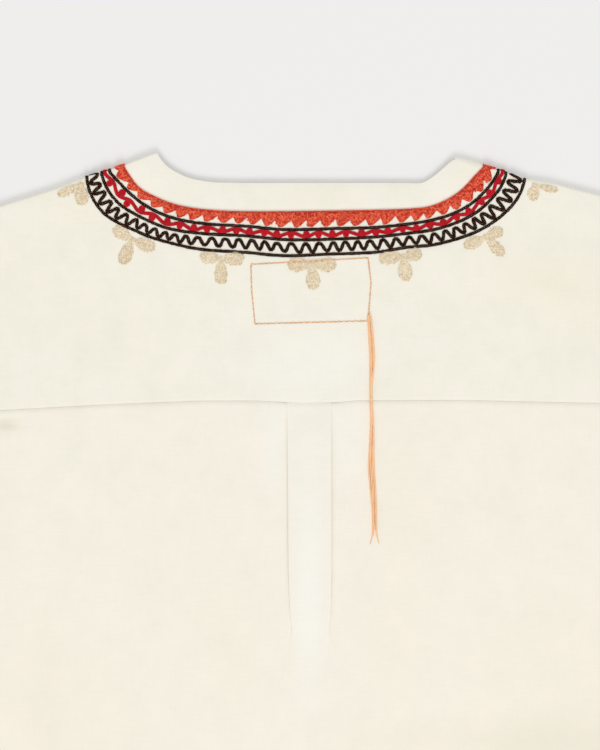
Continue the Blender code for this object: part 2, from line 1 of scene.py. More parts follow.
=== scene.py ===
"""Looks of the embroidered blouse: thin cloth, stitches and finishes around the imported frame.

Lengths are in millimetres. Plan positions are measured from the middle of the back neck edge, as in the
part's own source: x to the right as seen from above, y towards the neck, z up from the surface that the
blouse lies on.
"""

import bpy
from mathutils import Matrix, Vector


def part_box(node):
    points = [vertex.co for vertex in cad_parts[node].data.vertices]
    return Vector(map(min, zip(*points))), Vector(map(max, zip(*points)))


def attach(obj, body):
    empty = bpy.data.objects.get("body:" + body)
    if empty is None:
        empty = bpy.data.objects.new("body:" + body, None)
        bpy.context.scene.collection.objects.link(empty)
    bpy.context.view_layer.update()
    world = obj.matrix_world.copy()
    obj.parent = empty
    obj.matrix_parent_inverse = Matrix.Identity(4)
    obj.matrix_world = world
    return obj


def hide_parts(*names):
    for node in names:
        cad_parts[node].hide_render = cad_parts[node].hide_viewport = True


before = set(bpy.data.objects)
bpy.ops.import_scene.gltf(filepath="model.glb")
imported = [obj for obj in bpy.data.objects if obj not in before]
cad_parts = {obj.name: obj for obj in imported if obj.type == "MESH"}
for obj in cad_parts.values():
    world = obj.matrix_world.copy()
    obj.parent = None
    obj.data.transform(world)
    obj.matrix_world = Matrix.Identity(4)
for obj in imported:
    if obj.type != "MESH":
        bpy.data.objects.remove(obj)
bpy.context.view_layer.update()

import logging
import math
import random
from bisect import bisect_left
from dataclasses import dataclass, field
from enum import Enum
from functools import cached_property
from typing import Callable, NamedTuple, Sequence

import bmesh
import bpy
import numpy as np
from mathutils import Matrix, Vector, noise

MM = 0.001
BODY = "root"
log = logging.getLogger("blouse")


class Side(Enum):
    """The two halves of the blouse, as seen from above."""

    LEFT = -1
    RIGHT = 1


class Slot(Enum):
    """Material slots of the record."""

    LINEN = "cream_linen"
    CORAL = "coral_thread"
    BROWN = "dark_brown_thread"
    RED = "red_thread"
    BEIGE = "beige_thread"
    ORANGE = "orange_thread"


class Place(NamedTuple):
    """A plan position."""

    x: float
    y: float


class Station(NamedTuple):
    """A point of the neck's edge, the direction away from it, and how far along it each line lies."""

    x: float
    y: float
    bearing: float
    seam: float
    inner: float
    middle: float
    outer: float


class PleatRow(NamedTuple):
    """The box pleat at one level.

    Its two edges, its depth under the strip, its height as a share, and how far it has opened.
    """

    y: float
    left: float
    right: float
    depth: float
    share: float
    opened: float


class Petal(NamedTuple):
    """Direction of a petal in degrees, its length and its width."""

    turn: float
    length: float
    width: float


class Trefoil(NamedTuple):
    """Where the petals of one trefoil meet, and the petals."""

    x: float
    y: float
    petals: tuple[Petal, ...]


class Spot(NamedTuple):
    """A place on the cloth, the way out of it, and the share of its height that a stitch keeps."""

    point: Vector
    normal: Vector
    loft: float


class StainAndShade(NamedTuple):
    """A soft patch of cloth, either a stain of its own or painted shade: its middle, its reach across and
    along, and its tone.

    The tone is pale below 0 and warm above it, and turns grey from the finish's grey_from on.
    """

    x: float
    y: float
    across: float
    along: float
    tone: float


@dataclass(frozen=True)
class Crease:
    """A soft trough or ridge between two plan positions, bowed sideways in its middle."""

    start: Place
    end: Place
    width: float
    height: float
    bow: float = 0.0

    def rise(self, x: float, y: float) -> float:
        """Height that the crease adds at a plan position.

        Args:
            x: Plan x.
            y: Plan y.

        Returns:
            The height in millimetres, below 0 in a trough.
        """
        run_x, run_y = self.end.x - self.start.x, self.end.y - self.start.y
        length = math.hypot(run_x, run_y)
        off_x, off_y = x - self.start.x, y - self.start.y
        along = (off_x * run_x + off_y * run_y) / length**2
        if not -0.15 < along < 1.15:
            return 0.0
        sideways = (off_x * run_y - off_y * run_x) / length - self.bow * 4 * along * (1 - along)
        if abs(sideways) > 3 * self.width:
            return 0.0
        ends = eased((0.2 - along) / 0.35) * eased((along - 0.8) / 0.35)
        return self.height * ends * math.exp(-((sideways / self.width) ** 2))


FOLD_LINE = (
    Place(-262.0, -34.0),
    Place(-231.0, -24.5),
    Place(-200.0, -15.0),
    Place(-165.0, -4.0),
    Place(-144.5, 4.0),
    Place(-127.0, 9.3),
    Place(-97.5, 20.2),
    Place(0.0, 54.0),
    Place(95.5, 16.9),
    Place(113.0, 12.3),
    Place(124.0, 8.4),
    Place(140.0, 2.7),
    Place(151.0, 1.2),
    Place(161.0, -0.7),
    Place(190.0, -8.1),
    Place(226.0, -17.5),
    Place(262.0, -27.0),
)
NECK = (
    Station(-97.5, 20.2, 200, 23.4, 33.4, 38.8, 49.1),
    Station(-95.0, 15.0, 207, 23.3, 31.4, 40.0, 51.2),
    Station(-91.6, 11.0, 218, 23.0, 29.8, 39.6, 51.0),
    Station(-85.8, 7.1, 233, 21.0, 29.0, 37.1, 46.8),
    Station(-76.7, 3.2, 250, 19.4, 28.1, 35.4, 44.3),
    Station(-62.4, 0.6, 262, 18.6, 27.5, 34.0, 44.3),
    Station(-41.0, 0.0, 270, 18.9, 28.1, 34.4, 45.2),
    Station(-15.0, 0.0, 270, 18.9, 30.4, 36.9, 47.3),
    Station(14.3, 0.0, 270, 18.5, 29.8, 36.6, 46.3),
    Station(43.5, 0.0, 270, 18.0, 29.0, 35.2, 45.1),
    Station(63.0, 0.0, 272, 17.3, 26.9, 32.9, 41.9),
    Station(73.4, 0.0, 280, 16.4, 25.1, 31.4, 41.0),
    Station(80.0, 3.2, 292, 17.4, 26.7, 33.0, 42.9),
    Station(86.5, 8.4, 308, 18.6, 29.2, 35.7, 47.0),
    Station(92.3, 13.6, 328, 18.4, 29.9, 36.3, 49.4),
    Station(95.5, 16.9, 342, 19.5, 29.4, 34.7, 47.3),
)
LAST = len(NECK) - 1
YOKE_SEAM = (
    Place(-262.0, -150.5),
    Place(-200.0, -147.6),
    Place(-132.0, -143.9),
    Place(-70.0, -141.4),
    Place(-32.0, -141.4),
    Place(-5.0, -142.8),
    Place(20.0, -142.4),
    Place(32.0, -141.2),
    Place(100.0, -141.0),
    Place(190.0, -143.0),
    Place(262.0, -145.0),
)
PLEAT = (
    PleatRow(-143.0, -13.8, 15.4, 12.0, 1.0, 0.0),
    PleatRow(-190.0, -13.2, 15.4, 10.5, 1.0, 0.0),
    PleatRow(-240.0, -12.9, 15.4, 7.0, 1.0, 0.0),
    PleatRow(-262.0, -12.5, 15.3, 5.0, 0.92, 0.0),
    PleatRow(-283.0, -11.5, 14.8, 2.0, 0.74, 0.06),
    PleatRow(-298.0, -10.2, 13.6, -1.0, 0.5, 0.36),
    PleatRow(-314.0, -8.8, 11.4, -2.0, 0.32, 0.78),
    PleatRow(-336.0, -7.5, 8.8, -2.0, 0.17, 1.0),
    PleatRow(-375.0, -7.0, 8.0, -2.0, 0.05, 1.0),
    PleatRow(-420.0, -7.0, 8.0, -2.0, 0.0, 1.0),
    PleatRow(-700.0, -7.0, 8.0, -2.0, 0.0, 1.0),
)
TREFOILS = (
    Trefoil(-147.2, -1.0, (Petal(205, 17.2, 6.4), Petal(272, 14.0, 9.2))),
    Trefoil(-114.0, -37.2, (Petal(148, 15.0, 8.8), Petal(246, 17.6, 9.2), Petal(339, 16.0, 9.0))),
    Trefoil(-56.6, -49.6, (Petal(173, 14.0, 9.0), Petal(270, 17.2, 8.8), Petal(1, 15.6, 9.4))),
    Trefoil(2.6, -53.2, (Petal(180, 16.2, 9.6), Petal(274, 17.2, 9.2), Petal(0, 16.2, 9.6))),
    Trefoil(61.8, -47.8, (Petal(186, 16.2, 9.6), Petal(277, 17.2, 9.4), Petal(10, 12.8, 9.2))),
    Trefoil(115.5, -35.5, (Petal(203, 15.8, 8.2), Petal(314, 17.0, 7.8), Petal(26, 12.4, 8.2))),
    Trefoil(147.4, -1.5, (Petal(259, 10.6, 8.6), Petal(347, 15.6, 5.4))),
)
THREAD_ROUTE = (
    Place(39.6, -86.0),
    Place(40.9, -103.0),
    Place(41.6, -116.0),
    Place(40.9, -136.0),
    Place(41.4, -157.0),
    Place(41.2, -183.0),
    Place(41.9, -196.0),
    Place(42.8, -212.0),
    Place(43.4, -235.0),
)
CREASES = (
    Crease(Place(-176, -262), Place(-166, -392), 7, -0.50, 3),
    Crease(Place(-160, -285), Place(-152, -430), 9, 0.42, -4),
    Crease(Place(-205, -230), Place(-190, -400), 10, 0.38, 5),
    Crease(Place(148, -225), Place(150, -362), 7, -0.45, -2),
    Crease(Place(163, -240), Place(166, -400), 9, 0.40, 4),
    Crease(Place(205, -215), Place(212, -360), 11, -0.35, 3),
    Crease(Place(40, -352), Place(205, -327), 9, -0.42, 5),
    Crease(Place(62, -374), Place(214, -350), 12, 0.45, 6),
    Crease(Place(-210, -158), Place(-182, -154), 4, -0.70, 0),
    Crease(Place(-70, -178), Place(-58, -300), 12, -0.22, 4),
    Crease(Place(78, -172), Place(70, -290), 13, 0.24, -5),
    Crease(Place(-192, -70), Place(-118, -92), 10, -0.26, 4),
    Crease(Place(-180, -112), Place(-96, -126), 12, 0.24, -3),
    Crease(Place(128, -58), Place(206, -84), 10, 0.34, 4),
    Crease(Place(118, -100), Place(214, -118), 12, -0.26, 5),
    Crease(Place(-240, -95), Place(-222, -300), 9, 0.5, 5),
    Crease(Place(241, -100), Place(226, -290), 8, -0.5, -4),
    Crease(Place(-250, -270), Place(-120, -420), 9, 0.55, 9),
    Crease(Place(246, -265), Place(110, -440), 10, -0.55, -8),
    Crease(Place(-120, -430), Place(-138, -640), 14, -0.7, 7),
    Crease(Place(-40, -400), Place(-30, -690), 12, 0.5, -6),
    Crease(Place(52, -430), Place(66, -660), 16, -0.6, 5),
    Crease(Place(140, -450), Place(168, -690), 13, 0.7, 6),
    Crease(Place(226, -420), Place(250, -640), 10, -0.6, 3),
    Crease(Place(-222, -440), Place(-240, -670), 11, 0.6, -4),
    Crease(Place(-180, -560), Place(-20, -600), 8, 0.4, 8),
    Crease(Place(-268, -236), Place(-430, -205), 9, 0.8, 9),
    Crease(Place(-266, -215), Place(-400, -160), 8, -0.6, 6),
    Crease(Place(-270, -90), Place(-460, -130), 11, 0.5, -7),
    Crease(Place(-330, -60), Place(-380, -235), 10, -0.5, 8),
    Crease(Place(268, -238), Place(420, -200), 10, 0.8, -9),
    Crease(Place(266, -210), Place(390, -150), 8, -0.6, -5),
    Crease(Place(270, -85), Place(470, -125), 12, 0.5, 8),
    Crease(Place(345, -62), Place(372, -240), 9, -0.55, -7),
)
# Soft patches: mostly the cloth's own stains and paler parts; the rows marked below paint shade on the lower
# back.
STAINS_AND_SHADE = (
    StainAndShade(151, -62, 42, 20, 0.75),
    StainAndShade(186, -88, 30, 26, 0.45),
    StainAndShade(8, -10, 20, 9, 0.45),
    StainAndShade(104, 6, 13, 9, 0.50),
    StainAndShade(-150, -18, 22, 15, 0.50),
    StainAndShade(-120, -95, 38, 26, 0.20),
    StainAndShade(3, -116, 42, 23, -0.62),
    StainAndShade(-22, -172, 9, 32, -0.55),
    StainAndShade(2, -165, 16, 26, -0.15),
    StainAndShade(26, -168, 10, 26, -0.55),
    # Painted shade along the trough of the soft fold at the lower left.
    StainAndShade(-172, -330, 16, 80, 0.20),
    # Darker, warmer bands along the lower right and across the lower middle.
    StainAndShade(170, -366, 62, 14, 0.85),
    StainAndShade(60, -362, 40, 12, 0.30),
    # Painted shade: the lower corners and the whole lower back darker and warmer, where less light falls;
    # where these add up, the back's finish turns them grey.
    StainAndShade(-165, -350, 70, 60, 0.32),
    StainAndShade(175, -335, 70, 60, 0.42),
    StainAndShade(0, -330, 420, 190, 0.18),
    StainAndShade(-197, -157, 8, 4, 2.30),
    StainAndShade(1, -255, 11, 75, -0.85),
    StainAndShade(-1, -286, 9, 30, -0.25),
    StainAndShade(-48, -305, 32, 62, 0.18),
    StainAndShade(50, -300, 34, 62, 0.18),
    StainAndShade(62, -200, 20, 60, 0.35),
    StainAndShade(-80, -230, 50, 60, 0.15),
    StainAndShade(150, -240, 50, 60, 0.12),
    StainAndShade(-190, -60, 30, 22, 0.28),
)


def eased(share: float) -> float:
    """1 at 0 and below, 0 at 1 and above, and level at both ends."""
    share = min(max(share, 0.0), 1.0)
    return (1.0 - share) ** 2 * (1.0 + 2.0 * share)


def reading(table: Sequence[tuple], x: float) -> float:
    """The second column of a table at x, straight between its rows.

    Args:
        table: Rows that start with a position and a value, in order.
        x: The position, which may lie beyond the table's ends.

    Returns:
        The value there.
    """
    for before, after in zip(table, table[1:]):
        if x <= after[0]:
            break
    share = (x - before[0]) / (after[0] - before[0])
    return before[1] + share * (after[1] - before[1])


def glide(table: Sequence[tuple], u: float) -> list[float]:
    """Every column of a table at u rows along it, on a smooth curve through its rows.

    Args:
        table: Rows of numbers.
        u: Rows from the first one, which may lie between two rows.

    Returns:
        The columns' values there.
    """
    last = len(table) - 1
    row = min(max(int(u), 0), last - 1)
    t = u - row
    before, start, end, after = (table[min(max(n, 0), last)] for n in range(row - 1, row + 3))
    weights = (
        (-t + 2 * t**2 - t**3) / 2,
        (2 - 5 * t**2 + 3 * t**3) / 2,
        (t + 4 * t**2 - 3 * t**3) / 2,
        (t**3 - t**2) / 2,
    )
    columns = zip(before, start, end, after)
    return [sum(w * value for w, value in zip(weights, column)) for column in columns]


def marks_between(start: float, end: float, count: int, edge: Sequence[float] = ()) -> list[float]:
    """Positions from start to end, close together by the start and then even.

    Args:
        start: First position.
        end: Last position.
        count: Even steps after the close ones.
        edge: Distances from the start of the close ones, from 0 on.

    Returns:
        The positions, with both ends.
    """
    way = math.copysign(1.0, end - start)
    close = [start + way * step for step in edge] or [start]
    return close + [close[-1] + (end - close[-1]) * n / count for n in range(1, count + 1)]


@dataclass(frozen=True)
class BlouseForm:
    """The surfaces that the blouse's solids have, with the creases of the thin cloth."""

    back_top: float = 2.5
    fold_top: float = 3.2
    fold_radius: float = 1.6
    fold_reach: float = 30.0
    underside: float = 0.15
    yoke_front: float = 25.0
    seam_gap: float = 0.3
    half_body: float = 262.0
    underarm_y: float = -260.0
    hem_y: float = -700.0
    flare: float = 24.0
    flare_from: float = 150.0
    front_neck_y: float = -80.0
    slit_end_y: float = -230.0
    slit_top: float = 3.0
    slit_foot: float = 0.6
    edge_roll: float = 0.36
    edge_reach: float = 1.2
    hem_depth: float = 14.0
    hem_rise: float = 0.3
    allowance: float = 0.1
    allowance_reach: float = 9.0
    allowance_lead: float = 2.0
    allowance_slope: float = 3.0
    pleat_hump: float = 0.3
    hump_aside: float = 9.0
    hump_from: float = 2.0
    hump_reach: float = 16.0
    under_yoke: float = 0.1
    tuck: float = 0.7
    tuck_reach: float = 2.6
    unevenness: float = 0.16
    broad_waves: tuple[float, float, float] = (26.0, 34.0, 3.7)
    fine_waves: tuple[float, float, float] = (11.0, 13.0, 8.1)
    calm_from: float = 2.0
    calm_reach: float = 14.0
    lead_rows: float = 1.2
    stitch_loft_below: float = 0.25

    @property
    def turn_radius(self) -> float:
        """Radius of the thin cloth's outer face round a shoulder fold."""
        return (self.fold_top - self.underside) / 2

    @cached_property
    def origin(self) -> Vector:
        """The plan's origin as a point of the frame, from the box of the solid back."""
        low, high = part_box("back")
        return Vector(((low.x + high.x) / 2, low.y - self.hem_y * MM, 0.0))

    def to_frame(self, point: Vector) -> Vector:
        """A point in millimetres as a point of the frame in metres."""
        return self.origin + point * MM

    def fold_start(self, x: float) -> float:
        """Where the flat back ends and its round fold begins."""
        return reading(FOLD_LINE, x) - self.fold_radius

    def station(self, u: float) -> Station:
        """The neck's measures at u rows along its table."""
        return Station(*glide(NECK, min(max(u, 0.0), LAST)))

    def from_neck(self, u: float, distance: float) -> Place:
        """Plan position at a distance out from the neck's edge, straight along its bearing.

        Args:
            u: Rows along the neck's table.
            distance: How far out from the opening's edge.

        Returns:
            The position.
        """
        here = self.station(u)
        bearing = math.radians(here.bearing)
        return Place(here.x + distance * math.cos(bearing), here.y + distance * math.sin(bearing))

    def neck_plan(self, u: float, distance: float) -> Place:
        """Plan position at a distance out from the neck's edge, its line led onto the fold at both ends.

        Args:
            u: Rows along the neck's table.
            distance: How far out from the opening's edge.

        Returns:
            The position.
        """
        place = self.from_neck(u, distance)
        end = 0.0 if u < LAST / 2 else float(LAST)
        led = eased(abs(u - end) / self.lead_rows)
        y = place.y
        if led > 0:
            last = self.from_neck(end, distance)
            y += (self.fold_start(last.x) - last.y) * led
        return Place(place.x, min(y, self.fold_start(place.x)))

    def flared(self, x: float, y: float) -> float:
        """x moved out where the sides widen below the underarm.

        Args:
            x: Plan x of the straight body.
            y: Plan y.

        Returns:
            The moved x.
        """
        down = min(max((self.underarm_y - y) / (self.underarm_y - self.hem_y), 0.0), 1.0)
        out = min(max((abs(x) - self.flare_from) / (self.half_body - self.flare_from), 0.0), 1.0)
        return x + math.copysign(self.flare * down * out, x)

    def relief(self, x: float, y: float) -> float:
        """Height that creases and the cloth's own unevenness add at a plan position.

        Args:
            x: Plan x.
            y: Plan y.

        Returns:
            The height in millimetres.
        """
        broad, fine = (
            noise.noise(Vector((x / across, y / along, level)))
            for across, along, level in (self.broad_waves, self.fine_waves)
        )
        return sum(crease.rise(x, y) for crease in CREASES) + self.unevenness * (broad + 0.5 * fine)

    def panel(self, x: float, y: float, to_fold: float) -> float:
        """Height of a flat panel's outer face.

        Args:
            x: Plan x.
            y: Plan y.
            to_fold: Distance from the nearest fold that the panel rises to.

        Returns:
            The height in millimetres.
        """
        climb = (self.fold_top - self.back_top) * eased(to_fold / self.fold_reach)
        calm = 1.0 - eased((to_fold - self.calm_from) / self.calm_reach)
        return self.back_top + climb + calm * self.relief(x, y)

    def yoke_top(self, x: float, y: float) -> float:
        """Height of the yoke's outer face, without its turned edges.

        Args:
            x: Plan x.
            y: Plan y.

        Returns:
            The height in millimetres.
        """
        above = y - reading(YOKE_SEAM, x)
        pleat = PLEAT[0]
        over_pleat = eased((pleat.left - x) / self.hump_aside) * eased((x - pleat.right) / self.hump_aside)
        hump = self.pleat_hump * over_pleat * eased((above - self.hump_from) / self.hump_reach)
        past = above - self.allowance_reach + self.allowance_lead
        ridge = self.allowance * eased(past / self.allowance_slope)
        return self.panel(x, y, self.fold_start(x) - y) + hump + ridge

    def yoke_spot(self, x: float, y: float) -> Spot:
        """A place on the yoke with the direction out of its face.

        Args:
            x: Plan x.
            y: Plan y.

        Returns:
            The place on the cloth.
        """
        step = 0.8
        slope_x = (self.yoke_top(x + step, y) - self.yoke_top(x - step, y)) / (2 * step)
        slope_y = (self.yoke_top(x, y + step) - self.yoke_top(x, y - step)) / (2 * step)
        point = Vector((x, y, self.yoke_top(x, y)))
        return Spot(point, Vector((-slope_x, -slope_y, 1.0)).normalized(), 1.0)

    def turn_spot(self, x: float, angle: float) -> Spot:
        """A place on a shoulder fold's outer face, at an angle of 0 on the back and pi on the front.

        Args:
            x: Plan x.
            angle: Angle round the fold.

        Returns:
            The place on the cloth.
        """
        out = Vector((0.0, math.sin(angle), math.cos(angle)))
        middle = Vector((x, self.fold_start(x), self.underside + self.turn_radius))
        loft = self.stitch_loft_below + (1 - self.stitch_loft_below) * eased((angle / math.pi - 0.4) / 0.5)
        return Spot(middle + out * self.turn_radius, out, loft)

    def front_spot(self, x: float, y: float) -> Spot:
        """A place on the outer face of the front, which the blouse lies on."""
        return Spot(Vector((x, y, self.underside)), Vector((0.0, 0.0, -1.0)), self.stitch_loft_below)

    def seam_end(self, side: Side, distance: float) -> Place:
        """Where a line round the neck meets the shoulder fold."""
        return self.neck_plan(0 if side is Side.LEFT else LAST, distance)

    def scoop_start(self, side: Side) -> float:
        """y at which the front neck's round scoop begins, level with the yoke's seam on the front."""
        seam = NECK[0].seam if side is Side.LEFT else NECK[-1].seam
        return reading(FOLD_LINE, self.seam_end(side, seam).x) - self.yoke_front - self.seam_gap

    def front_neck(self, side: Side, step: float, distance: float) -> Place:
        """Plan position round the front of the neck.

        Args:
            side: The half.
            step: 0 where the scoop begins and 1 at the slit.
            distance: How far out from the opening's edge.

        Returns:
            The position.
        """
        width = abs(self.seam_end(side, distance).x)
        turn = step * math.acos(self.slit_top / width)
        top = self.scoop_start(side)
        depth = self.front_neck_y - distance - top
        return Place(side.value * width * math.cos(turn), top + depth * math.sin(turn))

    def neck_spot(self, w: float, distance: float) -> Spot:
        """A place on a line all round the neck.

        Args:
            w: Rows of the neck's table across the back. One more unit at each end turns round the fold,
                the next runs straight down the front, and the last follows the scoop to the slit.
            distance: How far out from the opening's edge.

        Returns:
            The place on the cloth.
        """
        side = Side.LEFT if w < 0 else Side.RIGHT
        past = max(-w, w - LAST)
        if past <= 0:
            place = self.neck_plan(w, distance)
            return self.yoke_spot(place.x, place.y)
        edge = self.seam_end(side, distance)
        if past <= 1:
            return self.turn_spot(edge.x, math.pi * past)
        if past <= 2:
            start = self.fold_start(edge.x)
            return self.front_spot(edge.x, start + (self.scoop_start(side) - start) * (past - 1))
        place = self.front_neck(side, past - 2, distance)
        return self.front_spot(place.x, place.y)


Distance = Callable[[Station], float]


class Course:
    """A line on the cloth that stitches follow, measured along its length."""

    def __init__(self, spots: list[Spot], marks: list[float]) -> None:
        """Measure the line.

        Args:
            spots: Places on the cloth, in order.
            marks: A number for each place, such as its row round the neck.
        """
        self.spots = spots
        self.marks = marks
        self.lengths = [0.0]
        for before, after in zip(spots, spots[1:]):
            self.lengths.append(self.lengths[-1] + (after.point - before.point).length)

    @classmethod
    def round_neck(cls, form: BlouseForm, distance: Distance) -> "Course":
        """The line all round the neck at a distance that follows the neck's table.

        Args:
            form: The blouse's surfaces.
            distance: Gives the line's distance from the opening's edge.

        Returns:
            The line, from the slit's left side to its right side.
        """
        scoop_steps, straight_steps, fold_steps, back_steps = 60, 10, 12, 400
        front = [-3 + n / scoop_steps for n in range(scoop_steps)]
        front += [-2 + n / straight_steps for n in range(straight_steps)]
        front += [-1 + n / fold_steps for n in range(fold_steps)]
        marks = front + [LAST * n / back_steps for n in range(back_steps + 1)]
        marks += [LAST - mark for mark in reversed(front)]
        return cls([form.neck_spot(w, distance(form.station(w))) for w in marks], marks)

    @property
    def length(self) -> float:
        """Length of the whole line."""
        return self.lengths[-1]

    def _share(self, along: float) -> tuple[int, float]:
        """The stretch that a length falls in, and how far along it.

        Args:
            along: The length from the line's start.

        Returns:
            Number of the place that ends the stretch, and the share of it.
        """
        n = min(max(bisect_left(self.lengths, along), 1), len(self.lengths) - 1)
        run = self.lengths[n] - self.lengths[n - 1]
        return n, (along - self.lengths[n - 1]) / run if run else 0.0

    def mark(self, along: float) -> float:
        """The mark at a length along the line."""
        n, share = self._share(along)
        return self.marks[n - 1] + (self.marks[n] - self.marks[n - 1]) * share

    def spot(self, along: float) -> tuple[Spot, Vector]:
        """The place at a length along the line, and the line's direction there.

        Args:
            along: The length from the line's start.

        Returns:
            The place and the direction.
        """
        n, share = self._share(along)
        before, after = self.spots[n - 1], self.spots[n]
        here = Spot(
            before.point.lerp(after.point, share),
            before.normal.lerp(after.normal, share).normalized(),
            before.loft + (after.loft - before.loft) * share,
        )
        return here, (after.point - before.point).normalized()

    def steps(self, pitch: float) -> list[float]:
        """Even lengths along the line, as close to a pitch apart as fits."""
        count = max(round(self.length / pitch), 1)
        return [self.length * (n + 0.5) / count for n in range(count)]


class Shape(NamedTuple):
    """Points and faces of one small form, in millimetres."""

    points: np.ndarray
    faces: list[tuple[int, ...]]


def taken_from(form: bmesh.types.BMesh) -> Shape:
    """Read a bmesh into a Shape and free it.

    Args:
        form: The bmesh.

    Returns:
        Its points and faces.
    """
    bmesh.ops.recalc_face_normals(form, faces=form.faces)
    form.verts.index_update()
    points = np.array([vert.co[:] for vert in form.verts])
    faces = [tuple(vert.index for vert in face.verts) for face in form.faces]
    form.free()
    return Shape(points, faces)


@dataclass(frozen=True)
class ThreadForms:
    """Small forms of thread that stitches repeat, each lying along x with its foot just under z = 0."""

    section_sides: int = 5

    def ring(self, length: float, width: float, height: float, steps: int = 10, hole: float = 0.3) -> Shape:
        """A closed loop of thread.

        Args:
            length: Outer length.
            width: Outer width.
            height: Height of the thread.
            steps: Faces round the loop.
            hole: Size of its middle as a share of its outer size.

        Returns:
            The shape.
        """
        thread = (1 - hole) / 2
        form = bmesh.new()
        turned = Matrix.Translation((1 - thread, 0, 0)) @ Matrix.Rotation(math.pi / 2, 4, "X")
        bmesh.ops.create_circle(form, segments=self.section_sides, radius=thread, matrix=turned)
        bmesh.ops.spin(
            form,
            geom=form.verts[:] + form.edges[:],
            axis=(0, 0, 1),
            angle=math.tau,
            steps=steps,
            use_merge=True,
        )
        bmesh.ops.scale(form, vec=(length / 2, width / 2, height / (2 * thread)), verts=form.verts)
        return taken_from(form)

    def curl(self, radius: float, thick: float, turn: float, steps: int = 6) -> Shape:
        """A short arc of thread with closed ends.

        Args:
            radius: Radius of the arc's middle line.
            thick: Thickness of the thread.
            turn: Angle that it turns through.
            steps: Faces along it.

        Returns:
            The shape.
        """
        form = bmesh.new()
        turned = Matrix.Translation((radius, 0, 0)) @ Matrix.Rotation(math.pi / 2, 4, "X")
        bmesh.ops.create_circle(form, segments=self.section_sides, radius=thick / 2, matrix=turned)
        bmesh.ops.spin(form, geom=form.verts[:] + form.edges[:], axis=(0, 0, 1), angle=turn, steps=steps)
        bmesh.ops.holes_fill(form, edges=form.edges, sides=self.section_sides)
        return taken_from(form)

    def grain(self, length: float, width: float, height: float, sides: int = 6, rings: int = 5) -> Shape:
        """A short straight stitch with round ends.

        Args:
            length: Its length.
            width: Its width.
            height: Its height.
            sides: Faces round it.
            rings: Faces along it.

        Returns:
            The shape.
        """
        form = bmesh.new()
        bmesh.ops.create_uvsphere(form, u_segments=sides, v_segments=rings, radius=1.0)
        bmesh.ops.rotate(form, matrix=Matrix.Rotation(math.pi / 2, 3, "Y"), verts=form.verts)
        for vert in form.verts:
            blunt = math.copysign(abs(vert.co.x) ** 1.5, vert.co.x)
            vert.co = (blunt * length / 2, vert.co.y * width / 2, vert.co.z * height / 2)
        return taken_from(form)

    def knot(self, width: float, height: float) -> Shape:
        """A small round knot.

        Args:
            width: Its width.
            height: Its height.

        Returns:
            The shape.
        """
        form = bmesh.new()
        bmesh.ops.create_icosphere(form, subdivisions=1, radius=width / 2)
        bmesh.ops.scale(form, vec=(1, 1, height / width), verts=form.verts)
        return taken_from(form)


class StitchHeap:
    """Copies of small forms, gathered into one mesh with a tone for each copy."""

    def __init__(self, form: BlouseForm) -> None:
        """Start an empty heap.

        Args:
            form: The blouse's surfaces.
        """
        self.form = form
        self.points: list[np.ndarray] = []
        self.faces: list[tuple[int, ...]] = []
        self.tones: list[np.ndarray] = []
        self.count = 0

    def add(self, shape: Shape, place: Matrix, tone: float) -> None:
        """Add a copy.

        Args:
            shape: The small form.
            place: Its place, in millimetres.
            tone: From 0, light, to 1, dark.
        """
        turn = np.array(place.to_3x3())
        self.points.append(shape.points @ turn.T + np.array(place.translation))
        self.faces += [tuple(n + self.count for n in face) for face in shape.faces]
        self.tones.append(np.full(len(shape.points), tone))
        self.count += len(shape.points)

    def stitch(
        self,
        shape: Shape,
        spot: Spot,
        along: Vector,
        tone: float,
        turn: float = 0.0,
        size: tuple[float, float, float] = (1.0, 1.0, 1.0),
        offset: tuple[float, float, float] = (0.0, 0.0, 0.0),
    ) -> None:
        """Add a copy lying on the cloth.

        Args:
            shape: The small form.
            spot: Where it lies.
            along: The direction of its length.
            tone: From 0, light, to 1, dark.
            turn: Angle that it is turned by on the cloth.
            size: Scale along, across and out of the cloth.
            offset: Move along, across and out of the cloth.
        """
        along = (along - spot.normal * along.dot(spot.normal)).normalized()
        across = spot.normal.cross(along)
        lift = offset[2] * spot.loft
        origin = spot.point + along * offset[0] + across * offset[1] + spot.normal * lift
        turned = along * math.cos(turn) + across * math.sin(turn)
        over = spot.normal.cross(turned)
        columns = (turned * size[0], over * size[1], spot.normal * size[2] * spot.loft)
        place = Matrix.Identity(4)
        for n, column in enumerate(columns):
            for m in range(3):
                place[m][n] = column[m]
        place.translation = origin
        self.add(shape, place, tone)

    def build(self, name: str) -> bpy.types.Object:
        """Join everything into one object.

        Args:
            name: The object's name.

        Returns:
            The object, smooth shaded, with its tones in the attribute tone, and flat where it would reach
            under the surface that the blouse lies on.
        """
        points = np.concatenate(self.points)
        points[:, 2] = np.maximum(points[:, 2], 0.0)
        mesh = bpy.data.meshes.new(name)
        mesh.from_pydata(points * MM + np.array(self.form.origin), [], self.faces)
        tones = mesh.attributes.new("tone", "FLOAT", "POINT")
        tones.data.foreach_set("value", np.concatenate(self.tones))
        mesh.shade_smooth()
        item = bpy.data.objects.new(name, mesh)
        bpy.context.scene.collection.objects.link(item)
        return item


